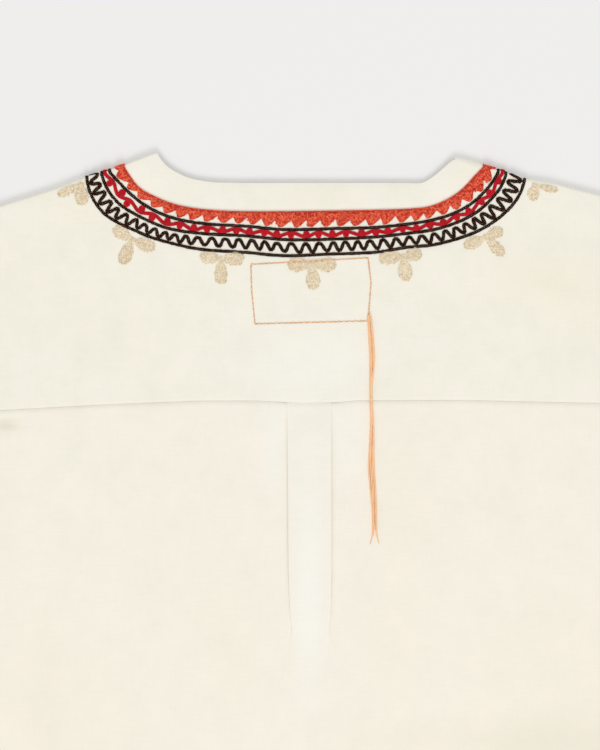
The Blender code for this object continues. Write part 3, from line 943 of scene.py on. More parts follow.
class NodeBench:
    """Adds nodes and links to one material."""

    def __init__(self, name: str) -> None:
        """Start a material with its shader.

        Args:
            name: The material's name.
        """
        self.material = bpy.data.materials.new(name)
        self.material.use_nodes = True
        self.tree = self.material.node_tree
        self.shader = self.tree.nodes["Principled BSDF"]

    def put(self, socket: bpy.types.NodeSocket, value: object) -> None:
        """Set a socket to a value, or link it where the value is another node's output."""
        if isinstance(value, bpy.types.NodeSocket):
            self.tree.links.new(value, socket)
        else:
            socket.default_value = value

    def node(self, kind: str, inputs: dict, **settings: object) -> bpy.types.Node:
        """Add a node.

        Args:
            kind: Its type, without the ShaderNode that every name begins with.
            inputs: Values or outputs for its sockets, by name or number.
            **settings: Its own properties.

        Returns:
            The node.
        """
        made = self.tree.nodes.new("ShaderNode" + kind)
        for key, value in settings.items():
            setattr(made, key, value)
        for key, value in inputs.items():
            self.put(made.inputs[key], value)
        return made

    def shade(self, **sockets: object) -> None:
        """Set the shader's sockets, with _ for each space in a name."""
        for key, value in sockets.items():
            self.put(self.shader.inputs[key.replace("_", " ")], value)

    def noise(self, where: object, scale: float, detail: float = 2.0, roughness: float = 0.5) -> object:
        """A noise pattern's value."""
        inputs = {"Vector": where, "Scale": scale, "Detail": detail, "Roughness": roughness}
        return self.node("TexNoise", inputs).outputs[0]

    def ranged(self, value: object, low: float, high: float, to_low: float, to_high: float) -> object:
        """A value moved from one range to another, kept inside it."""
        inputs = {0: value, 1: low, 2: high, 3: to_low, 4: to_high}
        return self.node("MapRange", inputs).outputs[0]

    def maths(self, operation: str, first: object, second: object) -> object:
        """Two values put together."""
        return self.node("Math", {0: first, 1: second}, operation=operation).outputs[0]

    def mixed(self, share: object, first: object, second: object, way: str = "MIX") -> object:
        """Two colours mixed."""
        return self.node("Mix", {0: share, 6: first, 7: second}, data_type="RGBA", blend_type=way).outputs[2]

    def stretched(self, where: object, scale: tuple[float, float, float], turn: float = 0.0) -> object:
        """Coordinates turned about z and then scaled."""
        flat = self.node("Mapping", {"Vector": where, "Rotation": (0.0, 0.0, turn)}).outputs[0]
        return self.node("Mapping", {"Vector": flat, "Scale": scale}).outputs[0]


@dataclass(frozen=True)
class LinenFinish:
    """Plain woven cream cloth, matte, with uneven threads both ways."""

    name: str
    turn: float = 0.0
    light: tuple[float, float, float, float] = (0.912, 0.870, 0.765, 1.0)
    deep: tuple[float, float, float, float] = (0.862, 0.840, 0.728, 1.0)
    # Warm serves the cloth's own yellowish stains and painted shade on the lower back alike.
    warm: tuple[float, float, float, float] = (0.895, 0.820, 0.650, 1.0)
    pale: tuple[float, float, float, float] = (0.930, 0.915, 0.860, 1.0)
    # Grey serves a small dark spot and painted shade at the back's lower corners.
    grey: tuple[float, float, float, float] = (0.700, 0.690, 0.600, 1.0)
    grey_from: float = 0.7
    thread_pitch: float = 0.0005

    def build(self) -> bpy.types.Material:
        """Make the material.

        Returns:
            The material. Its soft patches, the cloth's own stains and painted shade on the lower back, come
            from a mesh attribute that the cloth pieces write.
        """
        bench = NodeBench(self.name)
        where = bench.node("TexCoord", {}).outputs["Object"]
        clouds = bench.ranged(bench.noise(where, 42.0, 5.0, 0.68), 0.32, 0.68, 0.0, 1.0)
        colour = bench.mixed(clouds, self.light, self.deep)
        stain_and_shade = bench.node("Attribute", {}, attribute_name="stain_and_shade").outputs["Fac"]
        # Above 0 the tone warms and darkens the cloth, below 0 it pales, and from grey_from on it greys; the
        # warm and grey ends also paint shade on the lower back.
        colour = bench.mixed(bench.ranged(stain_and_shade, 0.0, 1.0, 0.0, 0.5), colour, self.warm)
        colour = bench.mixed(bench.ranged(stain_and_shade, 0.0, -1.0, 0.0, 0.8), colour, self.pale)
        colour = bench.mixed(bench.ranged(stain_and_shade, self.grey_from, 1.9, 0.0, 0.5), colour, self.grey)
        warp = bench.noise(bench.stretched(where, (700, 90, 1), self.turn), 1.0, 2.0)
        weft = bench.noise(bench.stretched(where, (85, 640, 1), self.turn), 1.0, 2.0)
        upright = bench.ranged(warp, 0.3, 0.7, 0.992, 1.006)
        level = bench.ranged(weft, 0.3, 0.7, 0.99, 1.008)
        streaks = bench.maths("MULTIPLY", upright, level)
        streaks = bench.node("CombineColor", {0: streaks, 1: streaks, 2: streaks}).outputs[0]
        colour = bench.mixed(1.0, colour, streaks, "MULTIPLY")
        bands = {
            "Vector": bench.stretched(where, (1, 1, 1), self.turn),
            "Scale": 0.05 * math.tau / self.thread_pitch,
            "Distortion": 2.5,
            "Detail": 1.0,
        }
        ways = [bench.node("TexWave", bands, bands_direction=way).outputs[1] for way in ("X", "Y")]
        weave = bench.maths("ADD", bench.maths("MULTIPLY", *ways), bench.maths("MULTIPLY", warp, 0.4))
        weave = bench.maths("ADD", weave, bench.maths("MULTIPLY", weft, 0.9))
        bump = bench.node("Bump", {"Height": weave, "Strength": 0.22, "Distance": 0.0001})
        bench.shade(Base_Color=colour, Roughness=0.92, Normal=bump.outputs[0])
        bench.shade(Sheen_Weight=0.12, Sheen_Roughness=0.6, Specular_IOR_Level=0.2)
        return bench.material


@dataclass(frozen=True)
class ThreadFinish:
    """Embroidery thread in two tones, with its fibres and a soft sheen."""

    name: str
    light: tuple[float, float, float, float]
    dark: tuple[float, float, float, float]
    speckle: float = 0.0
    roughness: float = 0.75
    sheen: float = 0.05
    shine: float = 0.15
    fibre: float = 2600.0
    speck_scale: float = 1050.0
    bump: float = 0.5

    def build(self) -> bpy.types.Material:
        """Make the material.

        Returns:
            The material. Its two tones follow the mesh attribute tone.
        """
        bench = NodeBench(self.name)
        where = bench.node("TexCoord", {}).outputs["Object"]
        tone = bench.node("Attribute", {}, attribute_name="tone").outputs["Fac"]
        fibres = bench.noise(where, self.fibre, 3.0, 0.6)
        drift = bench.noise(where, 120.0, 2.0)
        share = bench.maths("ADD", tone, bench.ranged(drift, 0.3, 0.7, -0.12, 0.12))
        specks = bench.noise(where, self.speck_scale, 1.0)
        share = bench.maths("ADD", share, bench.ranged(specks, 0.36, 0.64, -self.speckle, self.speckle))
        colour = bench.mixed(bench.ranged(share, 0.0, 1.0, 0.0, 1.0), self.light, self.dark)
        flecks = bench.ranged(fibres, 0.3, 0.7, 0.86, 1.1)
        flecks = bench.node("CombineColor", {0: flecks, 1: flecks, 2: flecks}).outputs[0]
        colour = bench.mixed(1.0, colour, flecks, "MULTIPLY")
        bump = bench.node("Bump", {"Height": fibres, "Strength": self.bump, "Distance": 0.0001})
        bench.shade(Base_Color=colour, Roughness=self.roughness, Normal=bump.outputs[0])
        bench.shade(Sheen_Weight=self.sheen, Sheen_Roughness=0.5, Specular_IOR_Level=self.shine)
        return bench.material


@dataclass
class ClothPiece:
    """A thin shell of cloth that stands for one of the frame's solids."""

    form: BlouseForm
    name: str
    node: str
    flat: tuple[float, float]
    area: float
    thickness: float = 0.45

    @property
    def cells(self) -> tuple[int, int]:
        """Columns and rows of the sheet's grid."""
        raise NotImplementedError

    def middle(self, i: int, j: int) -> Vector:
        """A point of the cloth's middle face at a corner of the grid.

        Args:
            i: Column of the corner.
            j: Row of the corner.

        Returns:
            The point in millimetres.
        """
        raise NotImplementedError

    def is_cut_away(self, i: int, j: int) -> bool:
        """Whether the grid has no cloth in a cell."""
        return False

    def grid(self) -> bmesh.types.BMesh:
        """Make the sheet.

        Returns:
            The sheet, in the frame's metres.
        """
        columns, rows = self.cells
        sheet = bmesh.new()
        bmesh.ops.create_grid(sheet, x_segments=columns, y_segments=rows, size=0.5)
        gone = []
        for face in sheet.faces:
            centre = face.calc_center_median()
            if self.is_cut_away(int((centre.x + 0.5) * columns), int((centre.y + 0.5) * rows)):
                gone.append(face)
        bmesh.ops.delete(sheet, geom=gone, context="FACES")
        for vert in sheet.verts:
            i, j = round((vert.co.x + 0.5) * columns), round((vert.co.y + 0.5) * rows)
            vert.co = self.middle(i, j)
        return sheet

    def make(self, finish: bpy.types.Material) -> bpy.types.Object:
        """Build the piece and dress it.

        Args:
            finish: Its material.

        Returns:
            The finished object.
        """
        sheet = self.grid()
        bmesh.ops.remove_doubles(sheet, verts=sheet.verts, dist=0.02)
        bmesh.ops.recalc_face_normals(sheet, faces=sheet.faces)
        # Each point on the upper faces keeps the tone of the stains and painted shade at its place.
        stain_and_shade_layer = sheet.verts.layers.float.new("stain_and_shade")
        for vert in sheet.verts:
            vert[stain_and_shade_layer] = stain_and_shade_at(vert.co.x, vert.co.y) if vert.co.z > 1.0 else 0.0
            vert.co = self.form.to_frame(vert.co)
        mesh = bpy.data.meshes.new(self.name)
        sheet.to_mesh(mesh)
        sheet.free()
        mesh.materials.append(finish)
        mesh.shade_smooth()
        item = bpy.data.objects.new(self.name, mesh)
        bpy.context.scene.collection.objects.link(item)
        wall = item.modifiers.new("wall", "SOLIDIFY")
        wall.thickness = self.thickness * MM
        wall.offset = 0.0
        soft = item.modifiers.new("soft edge", "BEVEL")
        soft.width = self.thickness * 0.3 * MM
        soft.segments = 2
        soft.limit_method = "ANGLE"
        soft.angle_limit = math.radians(50)
        soft.harden_normals = True
        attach(item, BODY)
        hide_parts(self.node)
        return item


def stain_and_shade_at(x: float, y: float) -> float:
    """Tone of the cloth's soft patches, its own stains and painted shade, at a plan position.

    Args:
        x: Plan x.
        y: Plan y.

    Returns:
        The tone, 0 where there is no patch.
    """
    total = 0.0
    for stain_and_shade in STAINS_AND_SHADE:
        reach = ((x - stain_and_shade.x) / stain_and_shade.across) ** 2 + ((y - stain_and_shade.y) / stain_and_shade.along) ** 2
        if reach < 6:
            total += stain_and_shade.tone * math.exp(-reach)
    return total


EDGE_STEPS = (0.0, 0.5, 1.1, 1.9, 3.0, 4.6, 7.0)


@dataclass
class Yoke(ClothPiece):
    """Upper back, carried over both shoulder folds to its seams on the front."""

    wing_steps: int = 34
    neck_steps: int = 90
    flat_steps: int = 40
    turn_steps: int = 10
    front_steps: int = 6
    seam_roll: float = 0.14
    columns: list[tuple[float, float, bool]] = field(default_factory=list)

    def __post_init__(self) -> None:
        """Place the columns: x, the y of the top, and whether the column goes on over the fold."""
        half, gap = self.form.half_body, self.form.seam_gap / 2
        left_seam = self.form.neck_plan(0, NECK[0].seam + gap)
        right_seam = self.form.neck_plan(LAST, NECK[-1].seam + gap)
        left = marks_between(-half, left_seam.x, self.wing_steps, EDGE_STEPS)
        right = marks_between(half, right_seam.x, self.wing_steps, EDGE_STEPS)
        self.columns = [(x, self.form.fold_start(x), True) for x in left]
        for n in range(1, self.neck_steps):
            u = LAST * n / self.neck_steps
            place = self.form.neck_plan(u, self.form.station(u).seam + gap)
            self.columns.append((place.x, place.y, False))
        self.columns += [(x, self.form.fold_start(x), True) for x in reversed(right)]

    @property
    def flat_rows(self) -> int:
        """Rows of cells on the back."""
        return len(EDGE_STEPS) - 1 + self.flat_steps

    @property
    def cells(self) -> tuple[int, int]:
        """Columns and rows of the sheet's grid."""
        return len(self.columns) - 1, self.flat_rows + self.turn_steps + self.front_steps

    def is_cut_away(self, i: int, j: int) -> bool:
        """Whether the grid has no cloth in a cell, as over the open neck."""
        return j >= self.flat_rows and not (self.columns[i][2] and self.columns[i + 1][2])

    def middle(self, i: int, j: int) -> Vector:
        """A point of the cloth's middle face at a corner of the grid.

        Args:
            i: Column of the corner.
            j: Row of the corner.

        Returns:
            The point in millimetres.
        """
        x, top, wraps = self.columns[i]
        half = self.thickness / 2
        roll = self.form.edge_roll * eased((self.form.half_body - abs(x)) / self.form.edge_reach)
        if j <= self.flat_rows or not wraps:
            seam = reading(YOKE_SEAM, x)
            y = marks_between(seam, top, self.flat_steps, EDGE_STEPS)[min(j, self.flat_rows)]
            roll += self.seam_roll * eased((y - seam) / self.form.edge_reach)
            return Vector((x, y, self.form.yoke_top(x, y) - half - min(roll, self.form.edge_roll)))
        turned = j - self.flat_rows
        if turned <= self.turn_steps:
            spot = self.form.turn_spot(x, math.pi * turned / self.turn_steps)
            return spot.point - spot.normal * half
        share = (turned - self.turn_steps) / self.front_steps
        foot = reading(FOLD_LINE, x) - self.form.yoke_front
        start = self.form.fold_start(x)
        return Vector((x, start + (foot - start) * share, self.form.underside + half))


@dataclass
class Back(ClothPiece):
    """Lower back with its box pleat, tucked under the yoke's turned edge."""

    side_steps: int = 56
    strip_steps: int = 6
    row_steps: int = 132
    layer_pitch: float = 0.64
    approach: tuple[float, ...] = (8.0, 5.0, 3.0, 1.6, 0.7)
    open_approach: tuple[float, ...] = (8.0, 7.4, 6.8, 6.2, 5.6)
    ramp_reach: float = 5.0
    crown: float = 0.45
    groove: float = 0.42
    pressed_share: float = 0.3
    press_reach: float = 30.0
    side_height: float = 1.15
    side_reach: float = 4.0
    half_turn_steps: int = 8

    def rows(self) -> list[float]:
        """Distance of each row below the yoke seam, the first one under the yoke."""
        length = reading(YOKE_SEAM, 0.0) - self.form.hem_y
        return [-2.0, -1.0] + marks_between(0.0, length, self.row_steps, EDGE_STEPS)

    def pleat_at(self, y: float) -> PleatRow:
        """The pleat's measures at y, on a smooth curve through its table.

        Args:
            y: The level.

        Returns:
            The measures, with the shares held between 0 and 1.
        """
        u = reading([(-row.y, n) for n, row in enumerate(PLEAT)], max(-y, -PLEAT[0].y))
        row = PleatRow(*glide(PLEAT, u))
        return row._replace(share=max(row.share, 0.0), opened=min(max(row.opened, 0.0), 1.0))

    def fold(self, row: PleatRow) -> list[tuple[float, float]]:
        """Middle line of the cloth through one edge of the pleat.

        Args:
            row: The pleat's measures.

        Returns:
            How far inside the strip's edge each point lies and how high over the panel, the strip's last.
        """
        radius = self.layer_pitch / 2
        turned_in = radius + self.thickness / 2
        angles = [math.pi * (n / self.half_turn_steps - 0.5) for n in range(self.half_turn_steps + 1)]
        under = [(row.depth + radius * math.cos(a), radius + radius * math.sin(a)) for a in angles]
        over = [(turned_in - radius * math.cos(a), 3 * radius + radius * math.sin(a)) for a in angles]
        line = []
        for shut, wide in zip(self.approach, self.open_approach):
            reach = shut + (wide - shut) * row.opened
            line.append((-reach, -self.groove * row.share * eased((reach - 0.6) / 1.6) * (1 - row.opened)))
        folded = under + over
        for n, (inward, height) in enumerate(folded):
            share = n / (len(folded) - 1)
            ramp = self.ramp_reach * (2 * share - 1)
            soft = (1 - eased(share)) * 4 * radius
            line.append(
                (inward + (ramp - inward) * row.opened, (height + (soft - height) * row.opened) * row.share)
            )
        return line

    def section(self, y: float) -> list[tuple[float, float, float]]:
        """The cloth from side to side at one level.

        Args:
            y: The level.

        Returns:
            (x, height over the panel, share of the strip's crown) for each column.
        """
        row = self.pleat_at(y)
        fold = self.fold(row)
        half = self.form.half_body
        left = marks_between(-half, row.left - self.approach[0], self.side_steps, EDGE_STEPS)[:-1]
        right = marks_between(half, row.right + self.approach[0], self.side_steps, EDGE_STEPS)[:-1]
        line = [(x, 0.0, 0.0) for x in left]
        line += [(row.left + inward, height, 0.0) for inward, height in fold]
        start, end = row.left + fold[-1][0], row.right - fold[-1][0]
        for n in range(1, self.strip_steps):
            share = n / self.strip_steps
            line.append((start + (end - start) * share, fold[-1][1], 4 * share * (1 - share) * row.share))
        line += [(row.right - inward, height, 0.0) for inward, height in reversed(fold)]
        return line + [(x, 0.0, 0.0) for x in reversed(right)]

    def __post_init__(self) -> None:
        """Work out the sections."""
        self.levels = self.rows()
        middle_seam = reading(YOKE_SEAM, 0.0)
        self.sections = [self.section(middle_seam - below) for below in self.levels]

    @property
    def cells(self) -> tuple[int, int]:
        """Columns and rows of the sheet's grid."""
        return len(self.sections[0]) - 1, len(self.levels) - 1

    def middle(self, i: int, j: int) -> Vector:
        """A point of the cloth's middle face at a corner of the grid.

        Args:
            i: Column of the corner.
            j: Row of the corner.

        Returns:
            The point in millimetres.
        """
        x, height, crown = self.sections[j][i]
        below = self.levels[j]
        seam = reading(YOKE_SEAM, x)
        length = reading(YOKE_SEAM, 0.0) - self.form.hem_y
        y = seam - below * (seam - self.form.hem_y) / length
        pressed = self.pressed_share + (1 - self.pressed_share) * (1 - eased(below / self.press_reach))
        tuck = self.form.tuck * eased(below / self.form.tuck_reach)
        side = self.form.half_body - abs(x)
        drop, roll = 0.0, 0.0
        if y < self.form.underarm_y:
            drop = (self.form.back_top - self.side_height) * eased(side / self.side_reach)
        else:
            roll = self.form.edge_roll * eased(side / self.form.edge_reach)
        hem = self.form.hem_rise * eased(y - self.form.hem_y - self.form.hem_depth)
        panel = self.form.panel(x, y, math.inf) - self.form.under_yoke - tuck - drop - roll + hem
        z = panel - self.thickness / 2 + height * pressed + self.crown * crown * pressed
        return Vector((self.form.flared(x, y), y, z))


@dataclass
class Front(ClothPiece):
    """The front, under everything, with its neck scoop and slit."""

    wing_steps: int = 30
    scoop_steps: int = 26
    row_counts: tuple[int, int, int] = (14, 14, 80)
    middle_level: float = -150.0

    def __post_init__(self) -> None:
        """Place each column's top, and note which column each half's slit edge is."""
        self.tops: list[Place] = []
        for side in Side:
            seam = NECK[0].seam if side is Side.LEFT else NECK[-1].seam
            first = self.form.front_neck(side, 0.0, seam + self.form.seam_gap)
            outer = side.value * self.form.half_body
            wing = marks_between(outer, first.x, self.wing_steps)[:-1]
            half = [Place(x, reading(FOLD_LINE, x) - self.form.yoke_front - self.form.seam_gap) for x in wing]
            half += [
                self.form.front_neck(side, n / self.scoop_steps, seam + self.form.seam_gap)
                for n in range(self.scoop_steps + 1)
            ]
            self.tops += half if side is Side.LEFT else list(reversed(half))
        self.slit = self.wing_steps + self.scoop_steps

    @property
    def cells(self) -> tuple[int, int]:
        """Columns and rows of the sheet's grid."""
        return len(self.tops) - 1, sum(self.row_counts)

    def is_cut_away(self, i: int, j: int) -> bool:
        """Whether the grid has no cloth in a cell, as in the slit."""
        return i == self.slit and j < self.row_counts[0] + self.row_counts[1]

    def middle(self, i: int, j: int) -> Vector:
        """A point of the cloth's middle face at a corner of the grid.

        Args:
            i: Column of the corner.
            j: Row of the corner.

        Returns:
            The point in millimetres.
        """
        top = self.tops[i]
        levels = (top.y, self.middle_level, self.form.slit_end_y, self.form.hem_y)
        band = 0
        while j > self.row_counts[band]:
            j -= self.row_counts[band]
            band += 1
        y = levels[band] + (levels[band + 1] - levels[band]) * j / self.row_counts[band]
        x = top.x
        if i in (self.slit, self.slit + 1):
            closed = min(max((top.y - y) / (top.y - self.form.slit_end_y), 0.0), 1.0)
            x = math.copysign(self.form.slit_top + (self.form.slit_foot - self.form.slit_top) * closed, top.x)
        return Vector((self.form.flared(x, y), y, self.form.underside + self.thickness / 2))


@dataclass
class NeckBand(ClothPiece):
    """Doubled stand band pressed flat, round the back of the neck, both folds and the front to the slit."""

    thickness: float = 0.9
    across_steps: int = 9
    crown: float = 0.3
    edge_drop: float = 0.25
    pitch: float = 2.2

    def __post_init__(self) -> None:
        """Space the columns along the band's seam."""
        seam = Course.round_neck(self.form, lambda here: here.seam)
        self.columns = [-3.0] + [seam.mark(s) for s in seam.steps(self.pitch)] + [LAST + 3.0]

    @property
    def cells(self) -> tuple[int, int]:
        """Columns and rows of the sheet's grid."""
        return len(self.columns) - 1, self.across_steps

    def middle(self, i: int, j: int) -> Vector:
        """A point of the cloth's middle face at a corner of the grid.

        Args:
            i: Column of the corner.
            j: Row of the corner.

        Returns:
            The point in millimetres.
        """
        w, share = self.columns[i], j / self.across_steps
        spot = self.form.neck_spot(w, share * (self.form.station(w).seam - self.form.seam_gap))
        crown = self.crown * 4 * share * (1 - share) - self.edge_drop * abs(2 * share - 1) ** 6
        return spot.point + spot.normal * (crown * spot.loft - self.thickness / 2)


@dataclass
class Sleeve(ClothPiece):
    """A plain sleeve pressed flat, open at the armhole and the cuff."""

    side: Side = Side.LEFT
    length: float = 270.0
    drop: float = 20.0
    cuff_width: float = 165.0
    along_steps: int = 60
    top_steps: int = 44
    turn_steps: int = 10
    bottom_steps: int = 24
    close_shares: tuple[float, ...] = (0.0, 0.002, 0.005, 0.009)

    @property
    def cells(self) -> tuple[int, int]:
        """Columns round the sleeve and rows along it."""
        return self.top_steps + self.bottom_steps + 2 * self.turn_steps, self.along_steps

    def middle(self, i: int, j: int) -> Vector:
        """A point of the cloth's middle face at a corner of the grid.

        Args:
            i: Column of the corner.
            j: Row of the corner.

        Returns:
            The point in millimetres.
        """
        form, way = self.form, self.side.value
        fall = math.radians(self.drop)
        seam_x = way * (form.half_body + form.seam_gap)
        shoulder = Vector((seam_x, reading(FOLD_LINE, way * form.half_body)))
        underarm = Vector((seam_x, form.underarm_y))
        cuff_top = shoulder + self.length * Vector((way * math.cos(fall), -math.sin(fall)))
        cuff_foot = cuff_top + self.cuff_width * Vector((-way * math.sin(fall), -math.cos(fall)))
        even_steps = self.along_steps - len(self.close_shares) + 1
        share = marks_between(0.0, 1.0, even_steps, self.close_shares)[j]
        upper, lower = shoulder.lerp(cuff_top, share), underarm.lerp(cuff_foot, share)
        across = (upper - lower).normalized()
        width = (upper - lower).length - 2 * form.turn_radius
        start = lower + across * form.turn_radius
        half = self.thickness / 2
        roll = form.edge_roll * eased(share * self.length / form.edge_reach)
        if i <= self.top_steps:
            distance = width * (0.5 - 0.5 * math.cos(math.pi * i / self.top_steps))
            flat = start + across * distance
            height = form.panel(flat.x, flat.y, min(distance, width - distance))
            height += form.hem_rise * eased((1 - share) * self.length - form.hem_depth)
            return Vector((flat.x, flat.y, height - half - roll))
        i -= self.top_steps
        if i <= self.turn_steps:
            return self.turned(start + across * width, across, math.pi * i / self.turn_steps, roll)
        i -= self.turn_steps
        if i <= self.bottom_steps:
            flat = start + across * width * (1 - i / self.bottom_steps)
            return Vector((flat.x, flat.y, form.underside + half))
        i -= self.bottom_steps
        return self.turned(start, -across, math.pi * (1 - i / self.turn_steps), roll)

    def turned(self, edge: Vector, out: Vector, angle: float, roll: float) -> Vector:
        """A point on one of the sleeve's folds, at an angle of 0 on top and pi below.

        Args:
            edge: Where the flat panel ends.
            out: Plan direction out of the fold.
            angle: Angle round the fold.
            roll: How far the armhole's edge is pressed down.

        Returns:
            The point in millimetres.
        """
        radius = self.form.turn_radius
        flat = edge + out * (radius - self.thickness / 2) * math.sin(angle)
        rise = radius + (radius - self.thickness / 2) * math.cos(angle)
        return Vector((flat.x, flat.y, self.form.underside + rise - roll * (1 + math.cos(angle)) / 2))


@dataclass
class Embroidery:
    """Everything that is sewn on: its sizes, and a method for each kind of stitch."""

    form: BlouseForm
    threads: ThreadForms = ThreadForms()
    line_half: float = 0.9
    line_width: float = 2.25
    link_pitch: float = 1.45
    wave_pitch: float = 8.7
    wave_close_pitch: float = 7.0
    wave_open: float = 74.0
    wave_change: float = 14.0
    wave_width: float = 2.5
    wave_link_pitch: float = 1.15
    wave_rise: float = 0.4
    wave_levels: tuple[float, float] = (0.26, 0.24)
    wave_shifts: tuple[tuple[float, float], ...] = (
        (-200.0, 0.55),
        (-72.0, 0.55),
        (-60.0, -0.30),
        (-16.0, -0.20),
        (-4.0, 0.25),
        (18.0, 0.25),
        (30.0, 0.05),
        (48.0, 0.10),
        (60.0, 0.35),
        (88.0, 0.45),
        (200.0, 0.45),
    )
    wave_margins: tuple[tuple[float, float], ...] = (
        (-200.0, 0.30),
        (-72.0, 0.30),
        (-60.0, 0.65),
        (-16.0, 0.60),
        (-4.0, 0.10),
        (18.0, 0.10),
        (30.0, 0.35),
        (48.0, 0.20),
        (60.0, 0.20),
        (88.0, 0.30),
        (200.0, 0.30),
    )
    vine_sway: float = 1.3
    berry_pitch: float = 9.1
    berry_radius: float = 2.3
    stem_half: float = 1.15
    stem_pitch: float = 0.62
    tooth_pitch: float = 9.6
    tooth_depth: float = 4.7
    tooth_foot: float = 0.2
    tooth_share: float = 0.55
    tooth_room: float = 1.5
    coral_gap: float = 0.6
    coral_row: float = 1.12
    coral_step: float = 1.35
    coral_top: float = 1.3
    coral_foot: float = 0.75
    coral_pale: float = 0.62
    pad_pitch: float = 0.55
    pad_rows: int = 3
    petal_core: float = 2.3
    petal_taper: float = 1.19
    knot_pitch: float = 1.05

    def finish(
        self, item: bpy.types.Object, nodes: Sequence[str], slot: Slot, finish: bpy.types.Material
    ) -> None:
        """Dress a stitched piece.

        Args:
            item: The piece.
            nodes: The solids that it stands for.
            slot: Its slot in the record; not used.
            finish: Its material.
        """
        item.data.materials.append(finish)
        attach(item, BODY)
        if nodes:
            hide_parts(*nodes)
        log.info("%s: %d faces", item.name, len(item.data.polygons))

    def chain(self, heap: StitchHeap, course: Course, pitch: float, width: float, seed: int) -> None:
        """Chain stitch along a line.

        Args:
            heap: Where the stitches go.
            course: The line.
            pitch: Length from link to link.
            width: Width of a link.
            seed: Seed of its small differences.
        """
        dice = random.Random(seed)
        link = self.threads.ring(pitch * 1.9, width, 0.62, hole=0.2)
        for s in course.steps(pitch):
            spot, along = course.spot(s)
            size = (dice.uniform(0.9, 1.08), dice.uniform(0.88, 1.08), dice.uniform(0.9, 1.15))
            offset = (0.0, dice.uniform(-0.1, 0.1), 0.28)
            heap.stitch(link, spot, along, dice.random() * 0.7, dice.uniform(-0.16, 0.16), size, offset)

    def dark_line(self, name: str, distance: Distance, seed: int) -> bpy.types.Object:
        """One of the plain dark lines round the neck.

        Args:
            name: The piece's name.
            distance: Its distance from the opening's edge.
            seed: Seed of its small differences.

        Returns:
            The piece.
        """
        heap = StitchHeap(self.form)
        self.chain(heap, Course.round_neck(self.form, distance), self.link_pitch, self.line_width, seed)
        return heap.build(name)

    def beside(self, middle: Course, distance: Distance, swing: Callable[[float, Station], float]) -> Course:
        """A line that swings from side to side of another.

        Args:
            middle: The line that it swings about.
            distance: That line's distance from the opening's edge.
            swing: Gives how far outwards the new line lies, at a length along the other.

        Returns:
            The new line.
        """
        spots, marks = [], []
        for s in middle.steps(0.5):
            w = middle.mark(s)
            here = self.form.station(w)
            spots.append(self.form.neck_spot(w, distance(here) + swing(s, here)))
            marks.append(w)
        return Course(spots, marks)

    def wave(self) -> bpy.types.Object:
        """Dark wave between the middle and the outer line, uneven as handwork is.

        Returns:
            The piece.
        """
        def centre(here: Station) -> float:
            """Distance of the line that the wave swings about."""
            return (here.middle + here.outer) / 2 + reading(self.wave_shifts, here.x)

        def swing(s: float, here: Station) -> float:
            """How far outwards the wave lies at a length along that line.

            Args:
                s: The length.
                here: The neck's measures there.

            Returns:
                The distance, below 0 inwards.
            """
            n = min(max(bisect_left(turns, s), 1), len(turns) - 1)
            share = (s - turns[n - 1]) / (turns[n] - turns[n - 1])
            level = self.wave_levels[n % 2]
            blend = eased((share - level) / (1 - level))
            way = (1 if n % 2 else -1) * (2 * blend - 1)
            size = reach[n - 1] * blend + reach[n] * (1 - blend)
            room = (here.outer - here.middle) / 2 - self.line_half - self.wave_width / 2
            return (room - reading(self.wave_margins, here.x)) * size * way

        middle = Course.round_neck(self.form, centre)
        dice = random.Random(31)
        turns = [0.0]
        while turns[-1] < middle.length:
            share = self.wave_rise if len(turns) % 2 else 1 - self.wave_rise
            aside = 1 - eased((abs(middle.spot(turns[-1])[0].point.x) - self.wave_open) / self.wave_change)
            pitch = self.wave_pitch + (self.wave_close_pitch - self.wave_pitch) * aside
            turns.append(turns[-1] + pitch * share * dice.uniform(0.86, 1.14))
        reach = [dice.uniform(0.88, 1.08) for _ in turns]
        heap = StitchHeap(self.form)
        self.chain(heap, self.beside(middle, centre, swing), self.wave_link_pitch, self.wave_width, 32)
        return heap.build("wave_stitches")

    def vine(self) -> bpy.types.Object:
        """Red vine with a berry in each hollow, between the inner and the middle line.

        Returns:
            The piece.
        """
        def centre(here: Station) -> float:
            """Distance of the line that the vine swings about."""
            return (here.inner + here.middle) / 2

        middle = Course.round_neck(self.form, centre)
        dice = random.Random(53)
        count = round(middle.length / self.berry_pitch)
        berries = [middle.length * (n + 0.5 + dice.uniform(-0.09, 0.09)) / count for n in range(count)]

        def room(here: Station) -> float:
            """Free width from that line to the dark lines beside it."""
            return (here.middle - here.inner) / 2 - self.line_half

        def swing(s: float, here: Station) -> float:
            """How far outwards the stem lies at a length along that line.

            Args:
                s: The length.
                here: The neck's measures there.

            Returns:
                The distance, below 0 inwards.
            """
            n = min(max(bisect_left(berries, s), 1), count - 1)
            share = (s - berries[n - 1]) / (berries[n] - berries[n - 1])
            way = (1 if n % 2 else -1) * math.cos(math.pi * share)
            return min(max(room(here) - self.stem_half, 0.3), self.vine_sway) * way

